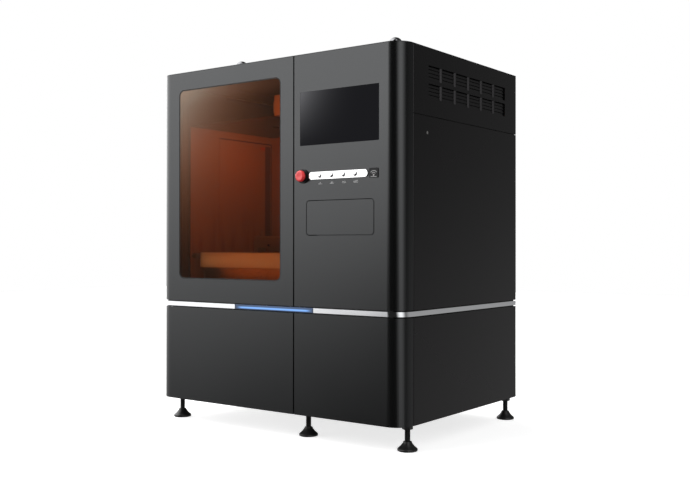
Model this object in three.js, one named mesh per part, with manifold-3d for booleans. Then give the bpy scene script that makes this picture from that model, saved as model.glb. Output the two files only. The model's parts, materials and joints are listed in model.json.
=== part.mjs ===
// Industrial laser stereolithography printer: a floor-standing cabinet with a glazed build chamber
// on the left and a control fascia on the right. Millimetres, +Z up, front towards -Y. The origin
// is on the floor, under the middle of the machine.
import * as THREE from 'three';
import { mergeVertices } from 'three/addons/utils/BufferGeometryUtils.js';
import Module from 'manifold-3d';

const wasm = await Module();
wasm.setup();

// ---------------------------------------------------------------------------------------------
// Driving dimensions
// ---------------------------------------------------------------------------------------------

const CLEAR = 0.3; // gap between pieces that touch

// Outer skin.
const cabinet = {
  half: 835, // half the width
  front: -605,
  rear: 605,
  bottom: 130,
  top: 1980,
  corner: 90, // radius of the two front corners
  rearCorner: 8,
  sheet: 3, // front shells and roof
  panel: 2, // side and rear panels
  lip: 10, // folded lip at the top and bottom of the front shells
  wrapEnd: -513, // where the front shells meet the side panels
  seam: 168, // middle of the upright gap between the two front halves
  seamGap: 8,
  seamReturn: 25, // folded edge along the seam
  split: 1640, // height of the joint between lower and upper side panels
  splitGap: 4,
  rearReturn: 35, // how far the side panels reach round the rear corners
  panelGap: 6, // between the front shells and the side panels
  panelFold: 6, // radius of the fold at the front edge of the side panels
};
const band = { low: 658, high: 682, gap: 6, depth: 10, shelfLow: 666, shelfHigh: 674, shelfBack: -497 };
const led = { left: -244, right: 297, recess: 8, face: 0.5 };
const skin = {
  upperLow: band.high + band.gap,
  upperHigh: cabinet.top - cabinet.sheet - 1,
  lowerHigh: band.low - band.gap,
};

// Steel frame inside the skin.
const frame = {
  tube: 50,
  side: 820, // outer faces of the corner posts
  front: -495,
  rear: 595,
  mid: 164, // middle of the divider between the chamber and the controls
  levels: [
    [130, 190],
    [645, 695],
    [1925, 1975],
  ],
};
const foot = {
  padRadius: 50,
  padEdge: 2,
  padHeight: 12,
  neckLow: 41,
  neckRadius: 22,
  coneHeight: 47,
  coneRadius: 20,
  stemRadius: 14,
  stemTop: 175,
  nutRadius: 27,
  nutHeight: 26,
  frontY: -475,
  rearY: 575,
  sideX: 780,
};
const cap = { radius: 32.5, height: 38, skirt: 10, y: -505, xs: [-286, 729] };

// Door hinges: a rod near each front corner, held by cranked arms on the frame.
const hinge = {
  x: 800,
  y: -560,
  rod: 6,
  hole: 6.3,
  eye: 12,
  webHalf: 8,
  arm: 12, // height of each arm and knuckle
  gap: 1, // between an arm and the knuckle that rests above it
  elbowIn: 715,
  elbowOut: 735,
  rootOut: 780,
  rootDepth: 24,
  knuckleIn: 725,
  knuckleOut: 755,
};
const hingeHeights = { lower: [215, 600], upper: [730, 1900] };
const hingeRods = { low: 205, leftTop: 1940, rightTop: 644 };

// Window in the upper left door.
const windowCut = { left: -675, right: 80, low: 813, high: 1881, radius: 35 };
const pane = { overlap: 25, thickness: 8, radius: 45 };
const gasket = { width: 6, front: 0.6 };

// Control fascia.
const screen = { left: 210, right: 700, low: 1510, high: 1785, recess: 1, glass: 4, radius: 3 };
const computer = { border: 5, depth: 55 };
const flap = { left: 254, right: 668, low: 1054, high: 1226, gap: 4, radius: 16 };
const flapPivot = { y: -597, z: 1068, radius: 3, stub: 8, spineHalf: 4, spineInset: 20 };
const pocket = { wall: 6, depth: 50 };
const keyboard = { width: 380, height: 128, thickness: 12, low: 1076 };
const controlsZ = 1353.5;
const stop = {
  x: 231,
  collar: 36,
  collarDepth: 8,
  head: 29,
  headBack: 14,
  crown: 6,
  reach: 34,
  stem: 10,
  stemIn: 15,
  socket: 8,
};
const bezel = { left: 272, right: 636, height: 37, depth: 6 };
const buttonXs = [342, 416, 490, 562];
const button = { radius: 12.5, proud: 9, back: 3.5, stem: 6, stemIn: 14, gap: 0.7 };
const reader = { left: 644, right: 697, low: 1329, high: 1377, depth: 3, radius: 6 };

// Build chamber. Everything in it is symmetric about chamber.mid.
const chamber = {
  mid: -320,
  halfInner: 439,
  wall: 3,
  front: -430,
  rear: 300,
  low: 700,
  high: 1699.7,
  slotHalf: 200,
  slotLow: 950,
  slotHigh: 1480,
};
const hatch = { front: -189, rear: 285, low: 1000, high: 1650, proud: 4 };
const vat = {
  half: 390,
  front: -435,
  rear: 270,
  rimLow: 872,
  rimHigh: 960,
  bottom: 440,
  floor: 10,
  rimWidth: 30,
  rearRim: 25,
  step: 20,
  rearStep: 15,
  radius: 60,
};
const stand = { xHalf: 275, front: -380, rear: 200 };
const platform = {
  half: 290,
  front: -395,
  rear: 105,
  low: 925.3,
  high: 938,
  corner: 10,
  rows: 5,
  columns: 6,
  hole: 14,
};
const hanger = { outer: 160, width: 30, front: 205, depth: 30, low: 905, armHigh: 925, armFront: -380 };
const carriage = { half: 110, front: 306, rear: 344.7, low: 1180, high: 1440, beam: 40 };
const column = { half: 100, front: 360, rear: 480, top: 1560, railIn: 55, railOut: 80, railFront: 345 };
const screw = {
  y: 326,
  radius: 10,
  hole: 10.3,
  low: 530,
  bracketLow: 540,
  bracket: 20,
  bracketHalf: 40,
  bracketFront: 306,
};
const motor = { half: 45, height: 130 };
const rail = {
  inner: 398,
  outer: 428,
  low: 925,
  high: 955,
  front: -425,
  rear: 290,
  webLow: 932,
  webHigh: 944,
};
const recoater = {
  front: 115,
  rear: 195,
  low: 985,
  high: 1060,
  slope: 12,
  half: 432,
  blade: 350,
  bladeLow: 963,
  bladeDepth: 8,
  shoeSpare: 2,
};
const WELD = 5; // how far joined shapes run into each other

// Optics above the chamber.
const deck = { low: 1700, high: 1712, rear: 303, hole: 80, holeY: -85 };
const laser = { left: -140, right: 90, front: -400, rear: 250, height: 118 };
const galvo = {
  half: 60,
  front: 10,
  rear: 70,
  height: 138,
  armFront: -130,
  armLow: 1785,
  armWidth: 25,
  crossZ: 1780,
  lengthY: -105,
  lengthZ: 1810,
  socket: 20,
};
const mirror = { shaft: 6, hole: 6.3, length: 40, width: 30, deep: 35, thickness: 6, tail: 15 };

// Right-hand compartment and the back.
const electrics = { left: 250, right: 700, front: -380, rear: 120, height: 410 };
const fan = {
  x: 500,
  z: 1780,
  half: 95,
  flange: 5,
  duct: 85,
  bore: 80,
  reach: 43,
  guard: 10,
  spoke: 4,
  boss: 22,
  shaft: 4,
  rotorNear: 6,
  rotorFar: 30,
  blades: 5,
  bladeChord: 28,
  bladeThickness: 2.5,
  bladeTwist: Math.PI / 5,
  tipGap: 6,
};
const inlet = {
  x: 500,
  z: 330,
  half: 45,
  flange: 8,
  radius: 34,
  bore: 27,
  reach: 38,
  contacts: 5,
  contactCircle: 14,
  contactRadius: 3,
  contactRecess: 6,
};
const vents = {
  columns: 6,
  front: -369,
  rear: 460,
  bar: 24, // width of the folded bars between the cells
  crest: 6, // width of the flat outer face of a bar
  fold: 7.5, // how far the edges of a bar lie inside the skin
  rows: [[1730, 1802], [1820, 1892]],
};

// ---------------------------------------------------------------------------------------------
// Finishes
// ---------------------------------------------------------------------------------------------

const finishes = {
  shellPaint: { color: 0x6d7072, roughness: 0.42, metalness: 0.45 },
  sidePaint: { color: 0x3c3e40, roughness: 0.5, metalness: 0.4 },
  blackPaint: { color: 0x141414, roughness: 0.55, metalness: 0.2 },
  chrome: { color: 0xd8dadc, roughness: 0.12, metalness: 1 },
  steel: { color: 0x9a9c9e, roughness: 0.35, metalness: 1 },
  aluminium: { color: 0xb9bbbd, roughness: 0.4, metalness: 0.9 },
  framePaint: { color: 0x2a2c2e, roughness: 0.6, metalness: 0.3 },
  linerPaint: { color: 0xc9c7c2, roughness: 0.5, metalness: 0.2 },
  blackPlastic: { color: 0x111111, roughness: 0.45, metalness: 0 },
  whitePlastic: { color: 0xe8e8e6, roughness: 0.35, metalness: 0 },
  redPlastic: { color: 0xc0140c, roughness: 0.3, metalness: 0 },
  rubber: { color: 0x0c0c0c, roughness: 0.8, metalness: 0 },
  screenGlass: { color: 0x15181c, roughness: 0.08, metalness: 0 },
  amberGlass: { color: 0xb25a1c, roughness: 0.08, metalness: 0, transparent: true, opacity: 0.6 },
  mirrorGlass: { color: 0xf0f0f0, roughness: 0.02, metalness: 1 },
};

// ---------------------------------------------------------------------------------------------
// Geometry helpers
// ---------------------------------------------------------------------------------------------

function toSolid(geometry) {
  const bare = geometry.clone();
  bare.deleteAttribute('normal');
  bare.deleteAttribute('uv');
  const merged = mergeVertices(bare, 1e-4);
  const vertProperties = new Float32Array(merged.attributes.position.array);
  const triVerts = new Uint32Array(merged.index.array);
  return new wasm.Manifold(new wasm.Mesh({ numProp: 3, vertProperties, triVerts }));
}

function toGeometry(solid) {
  const mesh = solid.getMesh();
  const geometry = new THREE.BufferGeometry();
  geometry.setAttribute('position', new THREE.BufferAttribute(new Float32Array(mesh.vertProperties), 3));
  geometry.setIndex(new THREE.BufferAttribute(new Uint32Array(mesh.triVerts), 1));
  return geometry;
}

function join(...geometries) {
  return toGeometry(geometries.map(toSolid).reduce((total, solid) => total.add(solid)));
}

function cut(geometry, ...tools) {
  return toGeometry(tools.map(toSolid).reduce((rest, tool) => rest.subtract(tool), toSolid(geometry)));
}

// A box between its lowest and highest corners.
function block(low, high) {
  const size = high.map((value, axis) => value - low[axis]);
  const middle = low.map((value, axis) => value + size[axis] / 2);
  return new THREE.BoxGeometry(...size).translate(...middle);
}

// A cylinder along 'x', 'y' or 'z', between two values on that axis. centre gives the other two.
function rod(axis, centre, radius, from, to, sides = 20) {
  const geometry = new THREE.CylinderGeometry(radius, radius, to - from, sides);
  const middle = (from + to) / 2;
  const [first, second] = centre;
  if (axis === 'x') return geometry.rotateZ(Math.PI / 2).translate(middle, first, second);
  if (axis === 'y') return geometry.translate(first, middle, second);
  return geometry.rotateX(Math.PI / 2).translate(first, second, middle);
}

// A plan outline (x, y) raised from one height to another.
function raise(outline, low, high, segments = 3) {
  const options = { depth: high - low, bevelEnabled: false, curveSegments: segments };
  return new THREE.ExtrudeGeometry(outline, options).translate(0, 0, low);
}

// A front-view outline (x, z) given depth from front to rear.
function deepen(outline, front, rear, segments = 3) {
  const options = { depth: rear - front, bevelEnabled: false, curveSegments: segments };
  return new THREE.ExtrudeGeometry(outline, options).rotateX(Math.PI / 2).translate(0, rear, 0);
}

function polygon(points) {
  return new THREE.Shape(points.map(([x, y]) => new THREE.Vector2(x, y)));
}

function roundedRectangle(left, right, low, high, radius) {
  const shape = new THREE.Shape();
  shape.moveTo(left + radius, low);
  shape.lineTo(right - radius, low);
  shape.absarc(right - radius, low + radius, radius, -Math.PI / 2, 0);
  shape.lineTo(right, high - radius);
  shape.absarc(right - radius, high - radius, radius, 0, Math.PI / 2);
  shape.lineTo(left + radius, high);
  shape.absarc(left + radius, high - radius, radius, Math.PI / 2, Math.PI);
  shape.lineTo(left, low + radius);
  shape.absarc(left + radius, low + radius, radius, Math.PI, 1.5 * Math.PI);
  return shape;
}

// A body of revolution about the Y axis, from [radius, y] points that start and end on the axis.
function spun(points, sides = 24) {
  return new THREE.LatheGeometry(points.map(([radius, y]) => new THREE.Vector2(radius, y)), sides);
}

const machine = new THREE.Group();

function add(name, geometry, finish) {
  const mesh = new THREE.Mesh(geometry, new THREE.MeshStandardMaterial(finishes[finish]));
  mesh.name = name;
  machine.add(mesh);
}

// ---------------------------------------------------------------------------------------------
// Skin outlines
// ---------------------------------------------------------------------------------------------

// Plan of a front shell: flat front, rounded corner and a short return along the side. side is -1
// for the left and 1 for the right; seamEdge is where the flat front stops.
function shellPlan(side, seamEdge, thickness, seamReturn) {
  const { half, front, corner, wrapEnd } = cabinet;
  const centreX = side * (half - corner);
  const centreY = front + corner;
  const inner = corner - thickness;
  const onSide = side > 0 ? 0 : Math.PI;
  const onFront = side > 0 ? -Math.PI / 2 : 1.5 * Math.PI;
  const plan = new THREE.Shape();
  plan.moveTo(seamEdge, front);
  plan.lineTo(centreX, front);
  plan.absarc(centreX, centreY, corner, onFront, onSide, side < 0);
  plan.lineTo(side * half, wrapEnd);
  plan.lineTo(side * (half - thickness), wrapEnd);
  plan.lineTo(side * (half - thickness), centreY);
  plan.absarc(centreX, centreY, inner, onSide, onFront, side > 0);
  plan.lineTo(seamEdge + side * cabinet.sheet, front + thickness);
  plan.lineTo(seamEdge + side * cabinet.sheet, front + seamReturn);
  plan.lineTo(seamEdge, front + seamReturn);
  return plan;
}

// A folded front shell with lips at its top and bottom.
function frontShell(side, low, high) {
  const { sheet, lip, seam, seamGap, seamReturn } = cabinet;
  const seamEdge = seam + (side * seamGap) / 2;
  const arcSegments = 8;
  return join(
    raise(shellPlan(side, seamEdge, sheet, seamReturn), low, high, arcSegments),
    raise(shellPlan(side, seamEdge, lip, seamReturn), low, low + sheet, arcSegments),
    raise(shellPlan(side, seamEdge, lip, seamReturn), high - sheet, high, arcSegments),
  );
}

// Plan of the whole cabinet, inset from the skin.
function cabinetPlan(inset) {
  const { front, rear, corner } = cabinet;
  const half = cabinet.half - inset;
  const low = front + inset;
  const high = rear - inset;
  const round = corner - inset;
  const rearCorner = Math.max(cabinet.rearCorner - inset, 0.5);
  const plan = new THREE.Shape();
  plan.moveTo(-half + round, low);
  plan.lineTo(half - round, low);
  plan.absarc(half - round, low + round, round, -Math.PI / 2, 0);
  plan.lineTo(half, high - rearCorner);
  plan.absarc(half - rearCorner, high - rearCorner, rearCorner, 0, Math.PI / 2);
  plan.lineTo(-half + rearCorner, high);
  plan.absarc(-half + rearCorner, high - rearCorner, rearCorner, Math.PI / 2, Math.PI);
  plan.lineTo(-half, low + round);
  plan.absarc(-half + round, low + round, round, Math.PI, 1.5 * Math.PI);
  return plan;
}

// ---------------------------------------------------------------------------------------------
// Frame, feet, roof
// ---------------------------------------------------------------------------------------------

// A cranked arm that holds the hinge rod: it leaves the post, passes outside the path of the door's
// edge and comes back to the rod.
function hingeArm(side, low) {
  const { x, y, eye, hole, arm, webHalf, elbowIn, elbowOut, rootOut, rootDepth } = hinge;
  const plan = polygon([
    [side * rootOut, frame.front],
    [side * elbowOut, frame.front],
    [side * elbowOut, y + webHalf],
    [side * x, y + webHalf],
    [side * x, y - webHalf],
    [side * elbowIn, y - webHalf],
    [side * elbowIn, frame.front + rootDepth],
    [side * rootOut, frame.front + rootDepth],
  ]);
  const eyeRod = rod('z', [side * x, y], eye, low, low + arm);
  return cut(
    join(raise(plan, low, low + arm), eyeRod),
    rod('z', [side * x, y], hole, low - 1, low + arm + 1, 16),
  );
}

function weldedFrame() {
  const { tube, side, front, rear, mid, levels } = frame;
  const bars = [];
  const bar = (x0, x1, y0, y1, z0, z1) => bars.push(block([x0, y0, z0], [x1, y1, z1]));
  const [base, , top] = levels;
  for (const [low, high] of levels) {
    bar(-side, side, front, front + tube, low, high);
    bar(-side, side, rear - tube, rear, low, high);
    bar(-side, -side + tube, front, rear, low, high);
    bar(side - tube, side, front, rear, low, high);
  }
  for (const x of [-side, mid - tube / 2, side - tube]) {
    bar(x, x + tube, front, front + tube, base[0], top[1]);
    bar(x, x + tube, rear - tube, rear, base[0], top[1]);
  }
  bar(mid - tube / 2, mid + tube / 2, front, rear, ...base);
  bar(mid - tube / 2, mid + tube / 2, front, rear, ...top);

  // Stand for the vat and the elevator column.
  for (const x of [chamber.mid - stand.xHalf, chamber.mid + stand.xHalf]) {
    bar(x - tube / 2, x + tube / 2, front, rear, ...base);
    for (const y of [stand.front, stand.rear]) {
      bar(x - tube / 2, x + tube / 2, y, y + tube, base[0], vat.bottom - CLEAR);
    }
  }
  const columnY = (column.front + column.rear) / 2;
  bar(chamber.mid - stand.xHalf, chamber.mid + stand.xHalf, columnY - tube, columnY + tube, ...base);

  // Bearer for the electrics.
  const electricsY = (electrics.front + electrics.rear) / 2;
  bar(mid, side, electricsY - tube, electricsY + tube, ...base);

  const arms = [];
  for (const low of hingeHeights.lower) arms.push(hingeArm(-1, low), hingeArm(1, low));
  for (const low of hingeHeights.upper) arms.push(hingeArm(-1, low));

  const stemHoles = footPlaces().map(([x, y]) => (
    rod('z', [x, y], foot.stemRadius + CLEAR, base[0] - 1, foot.stemTop + 1, 12)
  ));
  return cut(join(...bars, ...arms), ...stemHoles);
}

function footPlaces() {
  const { frontY, rearY, sideX } = foot;
  return [frontY, rearY].flatMap((y) => [-sideX, frame.mid, sideX].map((x) => [x, y]));
}

function levelingFoot(x, y) {
  const nutLow = cabinet.bottom - CLEAR - foot.nutHeight;
  const pad = spun([
    [0, 0],
    [foot.padRadius - foot.padEdge, 0],
    [foot.padRadius, foot.padEdge],
    [foot.padRadius, foot.padHeight],
    [foot.neckRadius, foot.neckLow],
    [foot.coneRadius, foot.coneHeight],
    [0, foot.coneHeight],
  ], 16).rotateX(Math.PI / 2);
  const stem = rod('z', [0, 0], foot.stemRadius, foot.coneHeight - WELD, foot.stemTop, 12);
  const nut = rod('z', [0, 0], foot.nutRadius, nutLow, nutLow + foot.nutHeight, 6);
  return join(pad, stem, nut).translate(x, y, 0);
}

function roofCap(x) {
  const { radius, height, skirt, y } = cap;
  const arcPoints = 7;
  const dome = [[0, 0], [radius, 0]];
  for (let i = 0; i <= arcPoints; i++) {
    const angle = (i / arcPoints) * (Math.PI / 2);
    dome.push([i === arcPoints ? 0 : radius * Math.cos(angle), skirt + (height - skirt) * Math.sin(angle)]);
  }
  return spun(dome).rotateX(Math.PI / 2).translate(x, y, cabinet.top + CLEAR);
}

function buildStructure() {
  add('welded_frame', weldedFrame(), 'framePaint');
  const footNames = ['front_left', 'front_middle', 'front_right', 'rear_left', 'rear_middle', 'rear_right'];
  footPlaces().forEach(([x, y], i) => add('foot_' + footNames[i], levelingFoot(x, y), 'blackPaint'));
  add('roof_cover', raise(cabinetPlan(0), cabinet.top - cabinet.sheet, cabinet.top, 8), 'shellPaint');
  add('roof_cap_left', roofCap(cap.xs[0]), 'chrome');
  add('roof_cap_right', roofCap(cap.xs[1]), 'chrome');
}

// ---------------------------------------------------------------------------------------------
// Doors, window, hinge rods
// ---------------------------------------------------------------------------------------------

// The part of a hinge that is fixed to a door: an eye around the rod and a web to the front sheet.
function doorKnuckle(side, low) {
  const { x, y, eye, arm, webHalf, knuckleIn, knuckleOut } = hinge;
  const plan = polygon([
    [side * x, y + webHalf],
    [side * knuckleIn, y + webHalf],
    [side * knuckleIn, cabinet.front + 1],
    [side * knuckleOut, cabinet.front + 1],
    [side * knuckleOut, y - webHalf],
    [side * x, y - webHalf],
  ]);
  return join(raise(plan, low, low + arm), rod('z', [side * x, y], eye, low, low + arm));
}

function door(side, low, high, heights) {
  const knuckles = heights.map((height) => doorKnuckle(side, height + hinge.arm + hinge.gap));
  const rodHole = rod('z', [side * hinge.x, hinge.y], hinge.hole, low - 1, high + 1, 16);
  return cut(join(frontShell(side, low, high), ...knuckles), rodHole);
}

function windowOutline(grow, radius = windowCut.radius + grow) {
  const { left, right, low, high } = windowCut;
  return roundedRectangle(left - grow, right + grow, low - grow, high + grow, radius);
}

function buildDoors() {
  const { front, sheet, bottom } = cabinet;
  const windowTool = deepen(windowOutline(0), front - 1, front + sheet + 1);
  const upper = door(-1, skin.upperLow, skin.upperHigh, hingeHeights.upper);
  add('window_door', cut(upper, windowTool), 'shellPaint');

  const paneFront = front + sheet + CLEAR;
  const paneOutline = windowOutline(pane.overlap, pane.radius);
  add('window_pane', deepen(paneOutline, paneFront, paneFront + pane.thickness), 'amberGlass');

  const ring = windowOutline(-CLEAR);
  ring.holes.push(windowOutline(-gasket.width));
  add('window_gasket', deepen(ring, front + gasket.front, front + sheet), 'rubber');

  add('lower_left_door', door(-1, bottom, skin.lowerHigh, hingeHeights.lower), 'shellPaint');
  add('lower_right_door', door(1, bottom, skin.lowerHigh, hingeHeights.lower), 'shellPaint');

  const { low, leftTop, rightTop } = hingeRods;
  add('left_hinge_rod', rod('z', [-hinge.x, hinge.y], hinge.rod, low, leftTop, 16), 'steel');
  add('right_hinge_rod', rod('z', [hinge.x, hinge.y], hinge.rod, low, rightTop, 16), 'steel');
}

// ---------------------------------------------------------------------------------------------
// Control fascia and what is mounted in it
// ---------------------------------------------------------------------------------------------

function screenOutline(inset) {
  const { left, right, low, high, radius } = screen;
  return roundedRectangle(left + inset, right - inset, low + inset, high - inset, radius);
}

function fascia() {
  const { front, sheet } = cabinet;
  const { left, right, low, high, gap, radius } = flap;
  const through = (outline) => deepen(outline, front - 1, front + sheet + 1);
  const pocketBack = front + pocket.depth;
  const pocketBody = block(
    [left - gap - pocket.wall, front + 1, low - gap - pocket.wall],
    [right + gap + pocket.wall, pocketBack, high + gap + pocket.wall],
  );
  const pocketSpace = block(
    [left - gap, front - 1, low - gap],
    [right + gap, pocketBack - pocket.wall, high + gap],
  );
  const shell = frontShell(1, skin.upperLow, skin.upperHigh);
  const flapHole = through(roundedRectangle(left - gap, right + gap, low - gap, high + gap, radius + gap));
  const screenHole = through(screenOutline(0));
  const stopHole = rod('y', [stop.x, controlsZ], stop.stem + 1, front - 1, front + sheet + 1);
  const stemHoles = buttonXs.map((x) => (
    rod('y', [x, controlsZ], button.stem + 1, front - 1, front + sheet + 1, 16)
  ));
  const holeReach = gap + pocket.wall - 1;
  const pivotHole = rod(
    'x', [flapPivot.y, flapPivot.z], flapPivot.radius + CLEAR, left - holeReach, right + holeReach, 16,
  );
  // The pocket is hollowed before it joins the sheet, so the sheet keeps its rounded flap opening.
  const hollowPocket = cut(pocketBody, pocketSpace, pivotHole);
  return join(cut(shell, flapHole, screenHole, stopHole, ...stemHoles), hollowPocket);
}

function keyboardFlap() {
  const { left, right, low, high, radius } = flap;
  const { front, sheet } = cabinet;
  const { y, z, stub, spineHalf, spineInset } = flapPivot;
  const stubReach = flap.gap + stub / 2;
  const plate = deepen(roundedRectangle(left, right, low, high, radius), front, front + sheet);
  const spine = block(
    [left + spineInset, front + 1, z - spineHalf],
    [right - spineInset, y + flapPivot.radius, z + spineHalf],
  );
  const pivot = rod('x', [y, z], flapPivot.radius, left - stubReach, right + stubReach, 16);
  return join(plate, spine, pivot);
}

function emergencyStop() {
  const { front } = cabinet;
  const { x, collar, collarDepth, head, headBack, crown, reach, stem, stemIn } = stop;
  const stemFront = front - headBack - stop.socket + CLEAR;
  const ring = cut(
    rod('y', [x, controlsZ], collar, front - CLEAR - collarDepth, front - CLEAR, 32),
    rod('y', [x, controlsZ], stem + 1, front - collarDepth - 2, front + 1),
  );
  const mushroom = spun([
    [0, -reach],
    [head * 0.45, -reach + 0.8],
    [head * 0.8, -reach + crown / 2],
    [head, -reach + crown + 4],
    [head, -headBack - crown],
    [head - crown, -headBack],
    [0, -headBack],
  ]).translate(x, front, controlsZ);
  const socket = rod('y', [x, controlsZ], stem + CLEAR, stemFront - CLEAR, front - headBack + 1);
  add('emergency_stop_collar', ring, 'blackPlastic');
  add('emergency_stop_plunger', rod('y', [x, controlsZ], stem, stemFront, front + stemIn), 'steel');
  add('emergency_stop_head', cut(mushroom, socket), 'redPlastic');
}

function pushButton(x) {
  const { front } = cabinet;
  const { radius, proud, back, stem, stemIn } = button;
  const crown = 1.5;
  return spun([
    [0, -proud],
    [radius - crown, -proud],
    [radius, -proud + crown],
    [radius, -back],
    [stem, -back],
    [stem, stemIn],
    [0, stemIn],
  ], 24).translate(x, front, controlsZ);
}

function buildControls() {
  const { front, sheet } = cabinet;
  add('control_fascia', fascia(), 'shellPaint');

  const glassFront = front + screen.recess;
  add('touch_screen', deepen(screenOutline(CLEAR), glassFront, glassFront + screen.glass), 'screenGlass');
  const housingFront = Math.max(glassFront + screen.glass, front + sheet) + CLEAR;
  add('panel_computer', block(
    [screen.left - computer.border, housingFront, screen.low - computer.border],
    [screen.right + computer.border, housingFront + computer.depth, screen.high + computer.border],
  ), 'blackPaint');

  emergencyStop();

  const radius = bezel.height / 2;
  const capsule = roundedRectangle(
    bezel.left, bezel.right, controlsZ - radius, controlsZ + radius, radius - 0.1,
  );
  const bezelFront = front - CLEAR - bezel.depth;
  const capHoles = buttonXs.map((x) => (
    rod('y', [x, controlsZ], button.radius + button.gap, bezelFront - 1, front + 1)
  ));
  add('button_bezel', cut(deepen(capsule, bezelFront, front - CLEAR, 6), ...capHoles), 'aluminium');
  buttonXs.forEach((x, i) => add('push_button_' + (i + 1), pushButton(x), 'whitePlastic'));

  const readerPlan = roundedRectangle(reader.left, reader.right, reader.low, reader.high, reader.radius);
  add('card_reader', deepen(readerPlan, front - CLEAR - reader.depth, front - CLEAR), 'blackPlastic');

  add('keyboard_flap', keyboardFlap(), 'shellPaint');
  const keysFront = front + sheet + CLEAR;
  const keysLeft = (flap.left + flap.right - keyboard.width) / 2;
  add('keyboard', block(
    [keysLeft, keysFront, keyboard.low],
    [keysLeft + keyboard.width, keysFront + keyboard.thickness, keyboard.low + keyboard.height],
  ), 'blackPlastic');
}

// ---------------------------------------------------------------------------------------------
// Chrome band and light bar
// ---------------------------------------------------------------------------------------------

function buildBand() {
  const { low, high, depth, shelfLow, shelfHigh, shelfBack } = band;
  const { half, front, rear, panel } = cabinet;
  const bandRear = rear - panel - 1;
  const arcSegments = 8;
  const outer = raise(cabinetPlan(0), low, high, arcSegments);
  const inner = raise(cabinetPlan(depth), low - 1, high + 1, arcSegments);
  const openRear = block([-half - 1, bandRear, low - 1], [half + 1, rear + 1, high + 1]);
  const shelf = cut(
    raise(cabinetPlan(1), shelfLow, shelfHigh, arcSegments),
    block([-half - 1, shelfBack, shelfLow - 1], [half + 1, rear + 1, shelfHigh + 1]),
  );
  const rearHalf = half - frame.tube;
  const backWall = block([-rearHalf, rear - 50, low - 1], [rearHalf, rear + 1, high + 1]);
  const ledPocket = block([led.left, front - 1, low - 1], [led.right, front + led.recess, high + 1]);
  const rodHole = rod('z', [-hinge.x, hinge.y], hinge.hole, low, high, 16);
  add('chrome_band', cut(join(cut(outer, inner, backWall, openRear), shelf), ledPocket, rodHole), 'chrome');
  add('led_bar', block(
    [led.left + CLEAR, front + led.face, low],
    [led.right - CLEAR, front + led.recess - CLEAR, high],
  ), 'blackPlastic');
}

// ---------------------------------------------------------------------------------------------
// Side and rear panels
// ---------------------------------------------------------------------------------------------

// A side panel, folded in at its front edge, that turns the rear corner with a short return.
function sidePanel(side, low, high) {
  const { half, rear, rearCorner, panel, wrapEnd, panelFold } = cabinet;
  const front = wrapEnd + cabinet.panelGap;
  const foldX = side * (half - panelFold);
  const foldY = front + panelFold;
  const returnEnd = half - cabinet.rearReturn;
  const centreX = side * (half - rearCorner);
  const centreY = rear - rearCorner;
  const onSide = side > 0 ? 0 : Math.PI;
  const onFront = side > 0 ? -Math.PI / 2 : 1.5 * Math.PI;
  const plan = new THREE.Shape();
  plan.moveTo(foldX, front);
  plan.absarc(foldX, foldY, panelFold, onFront, onSide, side < 0);
  plan.lineTo(side * half, centreY);
  plan.absarc(centreX, centreY, rearCorner, onSide, Math.PI / 2, side < 0);
  plan.lineTo(side * returnEnd, rear);
  plan.lineTo(side * returnEnd, rear - panel);
  plan.lineTo(centreX, rear - panel);
  plan.absarc(centreX, centreY, rearCorner - panel, Math.PI / 2, onSide, side > 0);
  plan.lineTo(side * (half - panel), foldY);
  plan.absarc(foldX, foldY, panelFold - panel, onSide, onFront, side > 0);
  return raise(plan, low, high, 3);
}

// One long slot for each row of vent cells.
function ventSlots(side) {
  const inner = cabinet.half - cabinet.panel - 1;
  const [near, far] = [side * inner, side * (cabinet.half + 1)].sort((a, b) => a - b);
  return vents.rows.map(([low, high]) => block([near, vents.front, low], [far, vents.rear, high]));
}

// The folded bars that part a row into cells. Each has a flat crest and two sloping flanks.
function ventBars(side) {
  const { columns, front, rear, bar, crest, fold, rows } = vents;
  const { half, panel } = cabinet;
  const pitch = (rear - front + bar) / columns;
  const bars = [];
  for (let i = 1; i < columns; i++) {
    const middle = front + i * pitch - bar / 2;
    const edges = [[middle - bar / 2, middle - crest / 2], [middle + crest / 2, middle + bar / 2]];
    const section = polygon([
      [side * (half - fold), edges[0][0]],
      [side * half, edges[0][1]],
      [side * half, edges[1][0]],
      [side * (half - fold), edges[1][1]],
      [side * (half - fold - panel), edges[1][1]],
      [side * (half - panel), edges[1][0]],
      [side * (half - panel), edges[0][1]],
      [side * (half - fold - panel), edges[0][0]],
    ]);
    for (const [low, high] of rows) bars.push(raise(section, low - WELD, high + WELD));
  }
  return bars;
}

function buildPanels() {
  const { bottom, split, splitGap, half, rear, rearReturn, panel } = cabinet;
  const jointGap = 2;
  for (const [word, side] of [['left', -1], ['right', 1]]) {
    const upper = sidePanel(side, split + splitGap / 2, skin.upperHigh);
    add(word + '_upper_panel', join(cut(upper, ...ventSlots(side)), ...ventBars(side)), 'sidePaint');
    add(word + '_lower_panel', sidePanel(side, skin.upperLow, split - splitGap / 2), 'sidePaint');
    add(word + '_base_panel', sidePanel(side, bottom, skin.lowerHigh), 'sidePaint');
  }
  const rearHalf = half - rearReturn - jointGap;
  const middle = (band.low + band.high) / 2;
  const fanHole = rod('y', [fan.x, fan.z], fan.bore, rear - panel - 1, rear + 1, 32);
  const upperRear = block([-rearHalf, rear - panel, middle + jointGap], [rearHalf, rear, skin.upperHigh]);
  const lowerRear = block([-rearHalf, rear - panel, bottom], [rearHalf, rear, middle - jointGap]);
  add('rear_upper_panel', cut(upperRear, fanHole), 'sidePaint');
  add('rear_lower_panel', lowerRear, 'sidePaint');
}

// ---------------------------------------------------------------------------------------------
// Exhaust fan and power inlet on the back
// ---------------------------------------------------------------------------------------------

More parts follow.
